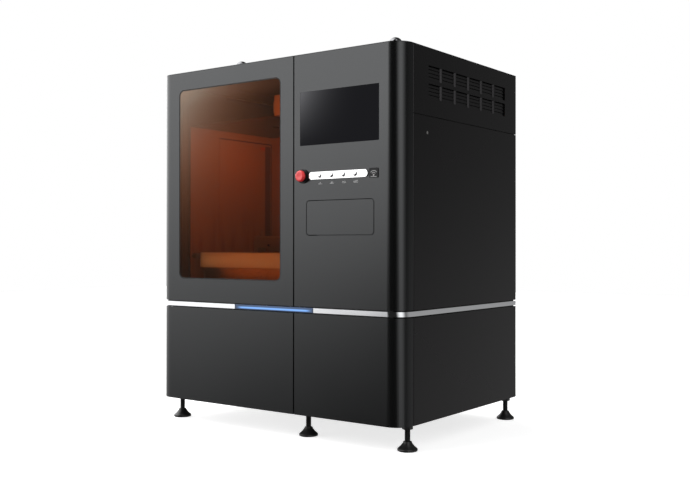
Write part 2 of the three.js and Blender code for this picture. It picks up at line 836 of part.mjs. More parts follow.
function fanHousing() {
  const { x, z, half, flange, duct, bore, reach, guard, spoke, boss, shaft } = fan;
  const back = cabinet.rear + CLEAR;
  const end = cabinet.rear + reach;
  const bossFront = end - guard;
  const tubeWall = cut(
    join(
      block([x - half, back, z - half], [x + half, back + flange, z + half]),
      rod('y', [x, z], duct, back, end, 40),
    ),
    rod('y', [x, z], bore, back - 1, end + 1, 40),
  );
  const spokes = [
    block([x - bore - 2, bossFront, z - spoke], [x + bore + 2, end, z + spoke]),
    block([x - spoke, bossFront, z - bore - 2], [x + spoke, end, z + bore + 2]),
  ];
  const hub = rod('y', [x, z], boss, bossFront, end);
  return cut(join(tubeWall, ...spokes, hub), rod('y', [x, z], shaft + CLEAR, back, end + 1, 16));
}

function fanRotor() {
  const { x, z, bore, boss, blades, bladeChord, bladeThickness, bladeTwist, tipGap, shaft } = fan;
  const low = cabinet.rear + fan.rotorNear;
  const high = cabinet.rear + fan.rotorFar;
  const root = boss - WELD;
  const length = bore - tipGap - root;
  const pieces = [
    rod('y', [0, 0], boss, low, high),
    rod('y', [0, 0], shaft, high - WELD, cabinet.rear + fan.reach - 2, 16),
  ];
  for (let i = 0; i < blades; i++) {
    const blade = new THREE.BoxGeometry(length, bladeThickness, bladeChord).rotateX(bladeTwist);
    blade.translate(root + length / 2, (low + high) / 2, 0).rotateY((i * 2 * Math.PI) / blades);
    pieces.push(blade);
  }
  return join(...pieces).translate(x, 0, z);
}

function powerInlet() {
  const { x, z, half, flange, radius, bore, reach, contacts, contactCircle, contactRadius } = inlet;
  const back = cabinet.rear + CLEAR;
  const end = cabinet.rear + reach;
  const floor = back + flange;
  const body = join(
    block([x - half, back, z - half], [x + half, floor, z + half]),
    rod('y', [x, z], radius, back, end, 32),
  );
  const pins = [];
  for (let i = 0; i < contacts; i++) {
    const angle = (i / contacts) * 2 * Math.PI;
    const centre = [x + contactCircle * Math.cos(angle), z + contactCircle * Math.sin(angle)];
    pins.push(rod('y', centre, contactRadius, floor - 2, end - inlet.contactRecess, 10));
  }
  return join(cut(body, rod('y', [x, z], bore, floor, end + 1, 32)), ...pins);
}

function buildBack() {
  add('exhaust_fan_housing', fanHousing(), 'blackPaint');
  add('exhaust_fan_rotor', fanRotor(), 'blackPlastic');
  add('power_inlet', powerInlet(), 'blackPlastic');
}

// ---------------------------------------------------------------------------------------------
// Build chamber: liner, vat, recoater, elevator
// ---------------------------------------------------------------------------------------------

// A box whose x values are measured from the middle of the chamber.
function chamberBlock(low, high) {
  return block([chamber.mid + low[0], low[1], low[2]], [chamber.mid + high[0], high[1], high[2]]);
}

function chamberLiner() {
  const { mid, halfInner, wall, front, rear, low, high, slotHalf, slotLow, slotHigh } = chamber;
  const outer = halfInner + wall;
  const plan = polygon([
    [mid - outer, front],
    [mid - halfInner, front],
    [mid - halfInner, rear],
    [mid + halfInner, rear],
    [mid + halfInner, front],
    [mid + outer, front],
    [mid + outer, rear + wall],
    [mid - outer, rear + wall],
  ]);
  const slot = chamberBlock([-slotHalf, rear - 1, slotLow], [slotHalf, rear + wall + 1, slotHigh]);
  const service = chamberBlock(
    [-halfInner - 1, hatch.front, hatch.low],
    [-halfInner + hatch.proud, hatch.rear, hatch.high],
  );
  return join(cut(raise(plan, low, high), slot), service);
}

function resinVat() {
  const { half, front, rear, rimLow, rimHigh, rimWidth, rearRim } = vat;
  const { bottom, floor, step, rearStep, radius } = vat;
  const { mid } = chamber;
  const rim = roundedRectangle(mid - half, mid + half, front, rear, radius);
  const body = roundedRectangle(
    mid - half + step, mid + half - step, front + step, rear - rearStep, radius - step,
  );
  const inside = roundedRectangle(
    mid - half + rimWidth, mid + half - rimWidth, front + rimWidth, rear - rearRim, radius - rimWidth,
  );
  return cut(
    join(raise(rim, rimLow, rimHigh), raise(body, bottom, rimLow + 1)),
    raise(inside, bottom + floor, rimHigh + 1),
  );
}

// side is -1 for the left rail and 1 for the right.
function recoaterRail(side) {
  const { inner, outer, low, high, front, rear, webLow, webHigh } = rail;
  const wall = chamber.halfInner - CLEAR;
  const section = polygon([
    [chamber.mid + side * inner, low],
    [chamber.mid + side * outer, low],
    [chamber.mid + side * outer, webLow],
    [chamber.mid + side * wall, webLow],
    [chamber.mid + side * wall, webHigh],
    [chamber.mid + side * outer, webHigh],
    [chamber.mid + side * outer, high],
    [chamber.mid + side * inner, high],
  ]);
  return deepen(section, front, rear);
}

function recoaterBeam() {
  const { front, rear, low, high, slope, half, blade, bladeLow, bladeDepth, shoeSpare } = recoater;
  const middle = (front + rear) / 2;
  const section = [
    [front, low],
    [rear, low],
    [rear, high - slope],
    [rear - slope, high],
    [front + slope, high],
    [front, high - slope],
  ];
  const beam = new THREE.ExtrudeGeometry(polygon(section), { depth: 2 * half, bevelEnabled: false });
  // The section is drawn as (y, z); these two turns and a shift make it run along X.
  beam.rotateX(Math.PI / 2).rotateZ(Math.PI / 2).translate(chamber.mid - half, 0, 0);
  const shoes = [-1, 1].map((side) => {
    const ends = [side * (rail.inner - shoeSpare), side * (rail.outer + shoeSpare)];
    const [near, far] = ends.sort((a, b) => a - b);
    return chamberBlock([near, front, rail.high + CLEAR], [far, rear, low + WELD]);
  });
  const edge = chamberBlock(
    [-blade, middle - bladeDepth / 2, bladeLow],
    [blade, middle + bladeDepth / 2, low + WELD],
  );
  return join(beam, ...shoes, edge);
}

function elevatorCarriage() {
  const { outer, width, front, depth, low, armHigh, armFront } = hanger;
  const plate = chamberBlock(
    [-carriage.half, carriage.front, carriage.low],
    [carriage.half, carriage.rear, carriage.high],
  );
  const beamLow = carriage.high - carriage.beam;
  const beam = chamberBlock([-outer, front, beamLow], [outer, carriage.front + WELD, carriage.high]);
  const forks = [-outer, outer - width].flatMap((x) => [
    chamberBlock([x, front, low], [x + width, front + depth, carriage.high]),
    chamberBlock([x, armFront, low], [x + width, front + depth, armHigh]),
  ]);
  const tie = chamberBlock([-outer, armFront, low], [outer, armFront + depth, armHigh]);
  const nutHole = rod('z', [chamber.mid, screw.y], screw.hole, carriage.low - 1, carriage.high + 1, 20);
  return cut(join(plate, beam, ...forks, tie), nutHole);
}

function buildPlatform() {
  const { half, front, rear, low, high, corner, rows, columns, hole } = platform;
  const holes = [];
  for (let row = 0; row < rows; row++) {
    for (let place = 0; place < columns; place++) {
      const x = chamber.mid - half + ((place + 0.5) * 2 * half) / columns;
      const y = front + ((row + 0.5) * (rear - front)) / rows;
      holes.push(rod('z', [x, y], hole, low - 1, high + 1, 8));
    }
  }
  const outline = roundedRectangle(chamber.mid - half, chamber.mid + half, front, rear, corner);
  return cut(raise(outline, low, high), ...holes);
}

function elevatorColumn() {
  const { half, front, rear, top, railIn, railOut, railFront } = column;
  const { y, hole, bracketLow, bracket, bracketHalf, bracketFront } = screw;
  const base = frame.levels[0][1] + CLEAR;
  const pieces = [chamberBlock([-half, front, base], [half, rear, top])];
  for (const [x0, x1] of [[-railOut, -railIn], [railIn, railOut]]) {
    pieces.push(chamberBlock([x0, railFront, bracketLow], [x1, front + 1, top - bracket]));
  }
  for (const low of [bracketLow, top - bracket]) {
    pieces.push(chamberBlock([-bracketHalf, bracketFront, low], [bracketHalf, front + 1, low + bracket]));
  }
  return cut(join(...pieces), rod('z', [chamber.mid, y], hole, bracketLow - 1, top + 1, 20));
}

function buildChamber() {
  add('chamber_liner', chamberLiner(), 'linerPaint');
  add('resin_vat', resinVat(), 'steel');
  add('recoater_rail_left', recoaterRail(-1), 'steel');
  add('recoater_rail_right', recoaterRail(1), 'steel');
  add('recoater', recoaterBeam(), 'aluminium');
  add('elevator_column', elevatorColumn(), 'framePaint');
  add('elevator_screw', rod('z', [chamber.mid, screw.y], screw.radius, screw.low, column.top, 20), 'steel');
  add('elevator_carriage', elevatorCarriage(), 'aluminium');
  add('build_platform', buildPlatform(), 'steel');
  add('elevator_motor', chamberBlock(
    [-motor.half, screw.bracketFront, column.top + CLEAR],
    [motor.half, screw.bracketFront + 2 * motor.half, column.top + CLEAR + motor.height],
  ), 'blackPaint');
}

// ---------------------------------------------------------------------------------------------
// Optics and electrics
// ---------------------------------------------------------------------------------------------

function galvoBlock() {
  const { half, front, rear, height, armFront, armLow, armWidth, crossZ, lengthY, lengthZ, socket } = galvo;
  const base = deck.high + CLEAR;
  const armFace = chamber.mid - half + armWidth;
  return cut(
    join(
      chamberBlock([-half, front, base], [half, rear, base + height]),
      chamberBlock([-half, armFront, armLow], [-half + armWidth, front + 1, base + height]),
    ),
    rod('y', [chamber.mid, crossZ], mirror.hole, front - 1, front + socket + WELD, 16),
    rod('x', [lengthY, lengthZ], mirror.hole, armFace - socket, armFace + 1, 16),
  );
}

// The mirror that turns about an axis along Y.
function crossMirror() {
  const { shaft, length, deep, thickness, tail } = mirror;
  const { front, crossZ, socket } = galvo;
  const plateRear = front - tail;
  const spindle = rod('y', [chamber.mid, crossZ], shaft, plateRear - WELD, front + socket, 16);
  const plate = new THREE.BoxGeometry(length, deep, thickness).rotateY(Math.PI / 4);
  plate.translate(chamber.mid, plateRear - deep / 2, crossZ);
  return join(spindle, plate);
}

// The mirror that turns about an axis along X.
function lengthMirror() {
  const { shaft, length, width, thickness, tail } = mirror;
  const { lengthY, lengthZ, socket } = galvo;
  const armFace = chamber.mid - galvo.half + galvo.armWidth;
  const spindle = rod('x', [lengthY, lengthZ], shaft, armFace - socket + 2, armFace + tail, 16);
  const plate = new THREE.BoxGeometry(length, width, thickness).rotateX(-Math.PI / 4);
  plate.translate(armFace + tail - WELD + length / 2, lengthY, lengthZ);
  return join(spindle, plate);
}

function buildOptics() {
  const outer = chamber.halfInner + chamber.wall;
  const deckPlate = chamberBlock([-outer, chamber.front, deck.low], [outer, deck.rear, deck.high]);
  const aperture = rod('z', [chamber.mid, deck.holeY], deck.hole, deck.low - 1, deck.high + 1, 32);
  add('optics_deck', cut(deckPlate, aperture), 'framePaint');
  const laserLow = deck.high + CLEAR;
  add('laser_unit', block(
    [laser.left, laser.front, laserLow],
    [laser.right, laser.rear, laserLow + laser.height],
  ), 'aluminium');
  add('galvo_scanner', galvoBlock(), 'aluminium');
  add('galvo_mirror_cross', crossMirror(), 'mirrorGlass');
  add('galvo_mirror_length', lengthMirror(), 'mirrorGlass');
  const boxLow = frame.levels[0][1] + CLEAR;
  add('electrics_box', block(
    [electrics.left, electrics.front, boxLow],
    [electrics.right, electrics.rear, boxLow + electrics.height],
  ), 'sidePaint');
}

buildStructure();
buildDoors();
buildControls();
buildBand();
buildPanels();
buildBack();
buildChamber();
buildOptics();

export default machine;
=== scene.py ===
"""Looks of a floor-standing laser stereolithography printer.

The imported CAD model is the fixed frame. This script gives every CAD node its finish, adds the fine
pieces that ride on the CAD bodies, and sets the camera, the lights and the floor. Metres, +Z up,
front towards -Y, origin on the floor under the middle of the machine.
"""
import json
import math

import bmesh
import bpy
from mathutils import Matrix, Vector


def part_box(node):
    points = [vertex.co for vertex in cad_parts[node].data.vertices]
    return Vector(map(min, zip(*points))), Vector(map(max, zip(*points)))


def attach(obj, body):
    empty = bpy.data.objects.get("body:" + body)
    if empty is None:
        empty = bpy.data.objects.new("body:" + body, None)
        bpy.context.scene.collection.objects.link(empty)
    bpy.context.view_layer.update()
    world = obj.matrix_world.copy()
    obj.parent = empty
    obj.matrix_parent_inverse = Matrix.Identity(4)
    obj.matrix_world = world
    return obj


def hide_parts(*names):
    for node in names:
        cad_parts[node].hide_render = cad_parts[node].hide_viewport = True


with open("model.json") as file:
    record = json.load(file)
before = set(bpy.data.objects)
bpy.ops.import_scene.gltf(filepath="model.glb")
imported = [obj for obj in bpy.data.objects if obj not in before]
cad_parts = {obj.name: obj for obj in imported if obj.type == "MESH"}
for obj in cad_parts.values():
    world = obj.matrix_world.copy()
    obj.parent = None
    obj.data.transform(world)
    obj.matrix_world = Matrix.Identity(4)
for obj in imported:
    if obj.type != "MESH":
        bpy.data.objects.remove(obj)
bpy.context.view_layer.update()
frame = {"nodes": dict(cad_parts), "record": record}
NODES = frame["nodes"]
MM = 0.001


# ---------------------------------------------------------------------------------------------
# Camera
# ---------------------------------------------------------------------------------------------

def make_camera():
    data = bpy.data.cameras.new("camera")
    data.lens = 48.70
    data.sensor_width = 36.0
    data.shift_y = 0.0036
    camera = bpy.data.objects.new("camera", data)
    camera.location = (3.232, -4.326, 1.000)
    camera.rotation_euler = (math.radians(90.19), math.radians(-0.04), math.radians(36.32))
    bpy.context.scene.collection.objects.link(camera)
    bpy.context.scene.camera = camera
    bpy.context.scene.view_settings.view_transform = "Standard"


# ---------------------------------------------------------------------------------------------
# Node helpers
# ---------------------------------------------------------------------------------------------

class Tree:
    """Short spellings for building a node tree."""

    def __init__(self, tree):
        self.tree = tree
        tree.nodes.clear()

    def add(self, kind, **settings):
        node = self.tree.nodes.new(kind)
        for key, value in settings.items():
            setattr(node, key, value)
        return node

    def link(self, source, target):
        self.tree.links.new(source, target)

    def put(self, socket, value):
        """Links value to socket if it is a socket, and sets it if it is a number or colour."""
        if isinstance(value, bpy.types.NodeSocket):
            self.link(value, socket)
        else:
            socket.default_value = value

    def math(self, operation, first, second=0.0):
        node = self.add("ShaderNodeMath", operation=operation)
        self.put(node.inputs[0], first)
        self.put(node.inputs[1], second)
        return node.outputs[0]

    def spread(self, value, low, high, to_low, to_high, smooth=False):
        """Maps value from low..high to to_low..to_high, clamped."""
        node = self.add("ShaderNodeMapRange")
        if smooth:
            node.interpolation_type = "SMOOTHSTEP"
        self.put(node.inputs["Value"], value)
        for name, number in zip(("From Min", "From Max", "To Min", "To Max"), (low, high, to_low, to_high)):
            node.inputs[name].default_value = number
        return node.outputs["Result"]

    def noise(self, vector, scale, detail=2.0, roughness=0.5):
        node = self.add("ShaderNodeTexNoise")
        self.put(node.inputs["Vector"], vector)
        node.inputs["Scale"].default_value = scale
        node.inputs["Detail"].default_value = detail
        node.inputs["Roughness"].default_value = roughness
        return node.outputs["Fac"]

    def stretch(self, vector, scale):
        node = self.add("ShaderNodeMapping")
        self.put(node.inputs["Vector"], vector)
        node.inputs["Scale"].default_value = scale
        return node.outputs["Vector"]

    def mix(self, factor, first, second):
        node = self.add("ShaderNodeMix", data_type="RGBA")
        self.put(node.inputs["Factor"], factor)
        for socket, colour in ((node.inputs[6], first), (node.inputs[7], second)):
            self.put(socket, colour if isinstance(colour, bpy.types.NodeSocket) else (*colour, 1.0))
        return node.outputs[2]


class Finish(Tree):
    """A Principled material. Numbers go on the shader's own sockets."""

    def __init__(self, name, base, roughness, metallic=0.0, **sockets):
        self.material = bpy.data.materials.new(name)
        self.material.use_nodes = True
        super().__init__(self.material.node_tree)
        output = self.add("ShaderNodeOutputMaterial")
        self.shader = self.add("ShaderNodeBsdfPrincipled")
        self.link(self.shader.outputs["BSDF"], output.inputs["Surface"])
        self.coords = self.add("ShaderNodeTexCoord").outputs["Object"]
        self.put(self.shader.inputs["Base Color"], (*base, 1.0))
        self.put(self.shader.inputs["Roughness"], roughness)
        self.put(self.shader.inputs["Metallic"], metallic)
        for key, value in sockets.items():
            self.put(self.shader.inputs[key.replace("_", " ")], value)

    def bump(self, height, strength, distance):
        node = self.add("ShaderNodeBump")
        node.inputs["Strength"].default_value = strength
        node.inputs["Distance"].default_value = distance
        self.put(node.inputs["Height"], height)
        self.link(node.outputs["Normal"], self.shader.inputs["Normal"])

    def vary_roughness(self, scale, low, high):
        patches = self.noise(self.coords, scale, 3.0)
        smooth = self.spread(patches, 0.2, 0.8, low, high, smooth=True)
        self.link(smooth, self.shader.inputs["Roughness"])

    def vary_colour(self, scale, dark, light):
        patches = self.noise(self.coords, scale, 4.0)
        factor = self.spread(patches, 0.3, 0.7, 0.0, 1.0)
        self.link(self.mix(factor, dark, light), self.shader.inputs["Base Color"])


# ---------------------------------------------------------------------------------------------
# Finishes
# ---------------------------------------------------------------------------------------------

def paint(name, base, metallic, rough, peel=0.10):
    """Sprayed enamel: fine orange peel and slow changes of gloss."""
    made = Finish(name, base, rough[0], metallic, IOR=1.52)
    made.vary_roughness(1.6, rough[0], rough[1])
    waves = made.noise(made.coords, 420.0, 1.0)
    made.bump(waves, peel, 0.0003)
    return made.material


def powder_coat(name, base, rough):
    """Textured powder coat: close grain with worn, slightly lighter patches."""
    made = Finish(name, base, rough)
    made.vary_colour(9.0, tuple(0.8 * v for v in base), tuple(1.25 * v for v in base))
    made.bump(made.noise(made.coords, 900.0, 2.0), 0.35, 0.0004)
    return made.material


def brushed(name, base, rough, along, metallic=1.0):
    """Brushed metal. along scales the coordinates, so the smallest number is the grain's way."""
    made = Finish(name, base, rough, metallic)
    lines = made.noise(made.stretch(made.coords, along), 60.0, 4.0, 0.65)
    made.link(made.spread(lines, 0.25, 0.75, rough * 0.75, rough * 1.35), made.shader.inputs["Roughness"])
    stain = made.noise(made.coords, 5.0, 3.0)
    made.link(
        made.mix(made.spread(stain, 0.3, 0.7, 0.0, 1.0), tuple(0.88 * v for v in base), base),
        made.shader.inputs["Base Color"],
    )
    made.bump(lines, 0.12, 0.0003)
    return made.material


def plastic(name, base, rough, grain=700.0, depth=0.15, **sockets):
    """Moulded plastic with a fine spark-eroded grain."""
    made = Finish(name, base, rough, 0.0, **sockets)
    made.vary_roughness(30.0, rough * 0.85, rough * 1.15)
    made.bump(made.noise(made.coords, grain, 2.0), depth, 0.0003)
    return made.material


def chrome_finish():
    made = Finish("polished_chrome", (0.83, 0.84, 0.86), 0.10, 1.0)
    made.vary_roughness(6.0, 0.08, 0.14)
    made.bump(made.noise(made.stretch(made.coords, (1.0, 1.0, 6.0)), 14.0, 2.0), 0.05, 0.0005)
    return made.material


def liner_finish():
    """Satin enamel of the chamber, stained by resin towards the vat."""
    made = Finish("chamber_enamel", (0.55, 0.36, 0.19), 0.45)
    height = made.add("ShaderNodeSeparateXYZ")
    made.link(made.coords, height.inputs[0])
    drips = made.noise(made.stretch(made.coords, (5.0, 5.0, 1.2)), 4.0, 4.0)
    low_wall = made.spread(height.outputs["Z"], 0.95, 1.35, 1.0, 0.0, smooth=True)
    stain = made.math("MULTIPLY", low_wall, made.spread(drips, 0.45, 0.7, 0.0, 1.0))
    made.link(made.mix(stain, (0.55, 0.36, 0.19), (0.40, 0.23, 0.11)), made.shader.inputs["Base Color"])
    made.bump(made.noise(made.coords, 350.0, 1.0), 0.08, 0.0004)
    return made.material


def pane_finish():
    """Brown acrylic. Its emission paints a sheen, a painted reflection that grows towards the upper left
    corner and along the top, over a faint painted orange glow across the whole pane that stands for the lit
    chamber.
    """
    low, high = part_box("window_pane")
    made = Finish("brown_acrylic", (0.42, 0.155, 0.045), 0.03, 0.0, IOR=1.1, Transmission_Weight=1.0,
                  Specular_IOR_Level=0.05)
    place = made.add("ShaderNodeSeparateXYZ")
    made.link(made.coords, place.inputs[0])
    across = made.spread(place.outputs["X"], low.x, high.x, 1.0, 0.0)
    upward = made.spread(place.outputs["Z"], low.z, high.z, 0.0, 1.0)
    # Painted reflection: a sheen strongest at the upper left corner, and a painted highlight band along the
    # top.
    corner = made.math("MULTIPLY", made.math("POWER", across, 1.7), made.math("POWER", upward, 1.9))
    painted_top_sheen = made.spread(upward, 0.88, 0.97, 0.0, 0.10, smooth=True)
    painted_sheen = made.math("ADD", corner, painted_top_sheen)
    # The emission paints the sheen pale where it is strong, and where it is weak a faint orange glow that
    # stands for the lit chamber.
    shade = made.mix(made.spread(painted_sheen, 0.05, 0.7, 0.0, 1.0), (1.0, 0.36, 0.12), (1.0, 0.86, 0.74))
    made.link(shade, made.shader.inputs["Emission Color"])
    made.link(made.spread(painted_sheen, 0.0, 1.0, 0.005, 0.19), made.shader.inputs["Emission Strength"])
    return made.material


def screen_finish():
    """Cover glass over a dark display. Its emission paints a reflected sheen, lighter towards the upper left.
    """
    low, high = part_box("touch_screen")
    made = Finish("display_glass", (0.004, 0.004, 0.005), 0.10, 0.0, IOR=1.5, Specular_IOR_Level=0.0)
    place = made.add("ShaderNodeSeparateXYZ")
    made.link(made.coords, place.inputs[0])
    # Painted reflection: the emitted sheen fades away from the upper left corner.
    across = made.math("POWER", made.spread(place.outputs["X"], low.x, high.x, 1.0, 0.0), 4.0)
    upward = made.math("POWER", made.spread(place.outputs["Z"], low.z, high.z, 0.15, 1.1), 1.8)
    glow = made.math("MULTIPLY", across, upward)
    made.link(made.mix(glow, (0.008, 0.008, 0.009), (0.112, 0.112, 0.118)),
              made.shader.inputs["Emission Color"])
    made.put(made.shader.inputs["Emission Strength"], 1.0)
    return made.material


def led_finish():
    """A slate-blue cover over a thin bright line that fades out before the ends."""
    low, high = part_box("led_bar")
    middle_x = (low.x + high.x) / 2
    line_z = low.z + 0.38 * (high.z - low.z)
    made = Finish("blue_diffuser", (0.02, 0.03, 0.05), 0.30, 0.0, Specular_IOR_Level=0.3)
    place = made.add("ShaderNodeSeparateXYZ")
    made.link(made.coords, place.inputs[0])
    along = made.math("ABSOLUTE", made.math("SUBTRACT", place.outputs["X"], middle_x))
    upright = made.math("ABSOLUTE", made.math("SUBTRACT", place.outputs["Z"], line_z))
    ends = made.spread(along, 0.215, 0.262, 1.0, 0.0, smooth=True)
    line = made.spread(upright, 0.0022, 0.0065, 1.0, 0.0, smooth=True)
    colour = made.mix(made.math("MULTIPLY", ends, line), (0.040, 0.062, 0.115), (0.21, 0.46, 1.0))
    made.link(colour, made.shader.inputs["Emission Color"])
    made.put(made.shader.inputs["Emission Strength"], 1.0)
    return made.material


def cap_finish():
    made = Finish("black_chrome", (0.13, 0.13, 0.135), 0.09, 1.0)
    made.vary_roughness(20.0, 0.07, 0.12)
    return made.material


FINISHES = {
    "shell_paint": paint("shell_enamel", (0.049, 0.050, 0.051), 0.9, (0.19, 0.23)),
    "side_paint": paint("side_enamel", (0.028, 0.027, 0.028), 0.9, (0.24, 0.30)),
    "black_paint": powder_coat("black_coating", (0.012, 0.012, 0.012), 0.38),
    "frame_paint": powder_coat("frame_powder_coat", (0.030, 0.032, 0.034), 0.5),
    "liner_paint": liner_finish(),
    "chrome_trim": chrome_finish(),
    "steel": brushed("brushed_steel", (0.56, 0.55, 0.54), 0.30, (0.4, 12.0, 12.0)),
    "aluminium": brushed("anodised_aluminium", (0.62, 0.63, 0.64), 0.38, (0.5, 8.0, 8.0), 0.9),
    "black_plastic": plastic("black_plastic", (0.012, 0.012, 0.013), 0.42, Specular_IOR_Level=0.2),
    "white_plastic": plastic("white_plastic", (0.80, 0.80, 0.79), 0.25, Coat_Weight=0.3),
    "red_plastic": plastic("red_plastic", (0.85, 0.035, 0.04), 0.30, 400.0, 0.05, Coat_Weight=0.3),
    "seal_rubber": plastic("seal_rubber", (0.022, 0.020, 0.019), 0.7, 500.0, 0.3),
    "screen_glass": screen_finish(),
    "amber_glass": pane_finish(),
    "mirror_glass": Finish("silvered_mirror", (0.93, 0.93, 0.94), 0.02, 1.0).material,
}


# ---------------------------------------------------------------------------------------------
# CAD nodes
# ---------------------------------------------------------------------------------------------

THIN_EDGE, THICK_EDGE = 0.7 * MM, 1.6 * MM
THICK_NODES = {"welded_frame", "resin_vat", "elevator_column", "elevator_motor", "laser_unit",
               "electrics_box",
               "panel_computer", "recoater", "optics_deck"}


def round_cad_edges(obj, width):
    """Welds the node's split corners and rounds its edges, without touching its own vertices."""
    mesh = obj.data
    if "custom_normal" in mesh.attributes:
        mesh.attributes.remove(mesh.attributes["custom_normal"])
    mesh.shade_smooth()
    weld = obj.modifiers.new("weld", "WELD")
    weld.merge_threshold = 1e-5
    bevel = obj.modifiers.new("round_edges", "BEVEL")
    bevel.width = width
    bevel.segments = 2
    bevel.limit_method = "ANGLE"
    bevel.angle_limit = math.radians(38)
    bevel.miter_outer = "MITER_ARC"
    normals = obj.modifiers.new("even_normals", "WEIGHTED_NORMAL")
    normals.keep_sharp = False


def dress_cad_nodes():
    slots = {row["node"]: row["material_slot"] for row in frame["record"]["subparts"]}
    for name, obj in NODES.items():
        obj.data.materials.clear()
        obj.data.materials.append(FINISHES[slots[name]])
        round_cad_edges(obj, THICK_EDGE if name in THICK_NODES else THIN_EDGE)


# ---------------------------------------------------------------------------------------------
# Pieces: meshes in millimetres that ride on the CAD bodies
# ---------------------------------------------------------------------------------------------

AXES = {
    "x": Matrix(((0, 0, 1), (1, 0, 0), (0, 1, 0))),
    "y": Matrix(((1, 0, 0), (0, 0, 1), (0, 1, 0))),
    "z": Matrix.Identity(3),
}


def cad(node):
    """Lowest and highest corners of a CAD node, in millimetres."""
    low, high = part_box(node)
    return low / MM, high / MM


def arc(centre, radius, start, end, steps=10):
    """Points along an arc, with angles in degrees."""
    angles = [math.radians(start + (end - start) * i / steps) for i in range(steps + 1)]
    return [(centre[0] + radius * math.cos(a), centre[1] + radius * math.sin(a)) for a in angles]


def rounded(left, right, low, high, radius):
    """Outline of a rectangle with round corners."""
    return (arc((right - radius, low + radius), radius, -90, 0)
            + arc((right - radius, high - radius), radius, 0, 90)
            + arc((left + radius, high - radius), radius, 90, 180)
            + arc((left + radius, low + radius), radius, 180, 270))


class Piece:
    """One piece under construction, in millimetres."""

    def __init__(self):
        self.mesh = bmesh.new()

    def block(self, low, high):
        """A box between two opposite corners."""
        low, high = [[pick(pair) for pair in zip(low, high)] for pick in (min, max)]
        corners = [self.mesh.verts.new((x, y, z)) for z in (low[2], high[2]) for y in (low[1], high[1])
                   for x in (low[0], high[0])]
        for quad in ((0, 2, 3, 1), (4, 5, 7, 6), (0, 1, 5, 4), (2, 6, 7, 3), (0, 4, 6, 2), (1, 3, 7, 5)):
            self.mesh.faces.new([corners[i] for i in quad])
        return self

    def lathe(self, axis, centre, profile, sides=48):
        """Turns (radius, along) points about an axis through centre."""
        turn = AXES[axis]
        rings = []
        for radius, along in profile:
            count = sides if radius else 1
            angles = [2 * math.pi * (i + 0.5) / sides for i in range(count)]
            rings.append([
                self.mesh.verts.new(Vector(centre)
                    + turn @ Vector((radius * math.cos(a), radius * math.sin(a), along)))
                for a in angles
            ])
        for first, second in zip(rings, rings[1:]):
            for i in range(sides):
                quad = [first[i % len(first)], first[(i + 1) % len(first)],
                        second[(i + 1) % len(second)], second[i % len(second)]]
                corners = list(dict.fromkeys(quad))
                if len(corners) > 2:
                    self.mesh.faces.new(corners)
        return self

    def rod(self, axis, centre, radius, start, end, sides=24):
        return self.lathe(axis, centre, [(0, start), (radius, start), (radius, end), (0, end)], sides)

    def tube(self, axis, centre, inner, outer, start, end, sides=48):
        profile = [(inner, start), (outer, start), (outer, end), (inner, end), (inner, start)]
        return self.lathe(axis, centre, profile, sides)

    def prism(self, outline, axis, start, end):
        """An outline given depth. Its points are (x, z) for axis 'y', (y, z) for 'x', (x, y) for 'z'."""
        def place(point, along):
            if axis == "x":
                return (along, point[0], point[1])
            if axis == "y":
                return (point[0], along, point[1])
            return (point[0], point[1], along)
        near = [self.mesh.verts.new(place(point, start)) for point in outline]
        far = [self.mesh.verts.new(place(point, end)) for point in outline]
        self.mesh.faces.new(near)
        self.mesh.faces.new(far[::-1])
        for i in range(len(outline)):
            j = (i + 1) % len(outline)
            self.mesh.faces.new((near[j], near[i], far[i], far[j]))
        return self

    def screw(self, axis, centre, out, radius=4.0, height=3.0):
        """A socket head on the plane through centre, standing out along the axis. out is 1 or -1."""
        socket = 0.5 * radius
        profile = [(0, -0.5 * out), (radius, -0.5 * out), (radius, out * (height - 0.4)),
                   (radius - 0.5, out * height),
                   (socket, out * height), (socket, out * 0.4 * height), (0, out * 0.4 * height)]
        return self.lathe(axis, centre, profile, 18)

    def finish(self, name, finish, body, edge=0.0, stands_for=None):
        """Makes the object. finish is a record slot, or a (material, record slot) pair whose record slot is
        not used. edge is a bevel.
        """
        bmesh.ops.scale(self.mesh, vec=(MM, MM, MM), verts=self.mesh.verts)
        bmesh.ops.remove_doubles(self.mesh, verts=self.mesh.verts, dist=1e-7)
        bmesh.ops.recalc_face_normals(self.mesh, faces=self.mesh.faces)
        data = bpy.data.meshes.new(name)
        self.mesh.to_mesh(data)
        self.mesh.free()
        data.shade_smooth()
        data.set_sharp_from_angle(angle=math.radians(35))
        obj = bpy.data.objects.new(name, data)
        bpy.context.scene.collection.objects.link(obj)
        material, slot_name = finish if isinstance(finish, tuple) else (FINISHES[finish], finish)
        data.materials.append(material)
        if edge:
            bevel = obj.modifiers.new("round_edges", "BEVEL")
            bevel.width = edge * MM
            bevel.segments = 2
            bevel.limit_method = "ANGLE"
            bevel.angle_limit = math.radians(35)
            bevel.harden_normals = True
        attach(obj, body)
        if stands_for:
            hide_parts(stands_for)
        return obj


# ---------------------------------------------------------------------------------------------
# Feet, roof
# ---------------------------------------------------------------------------------------------

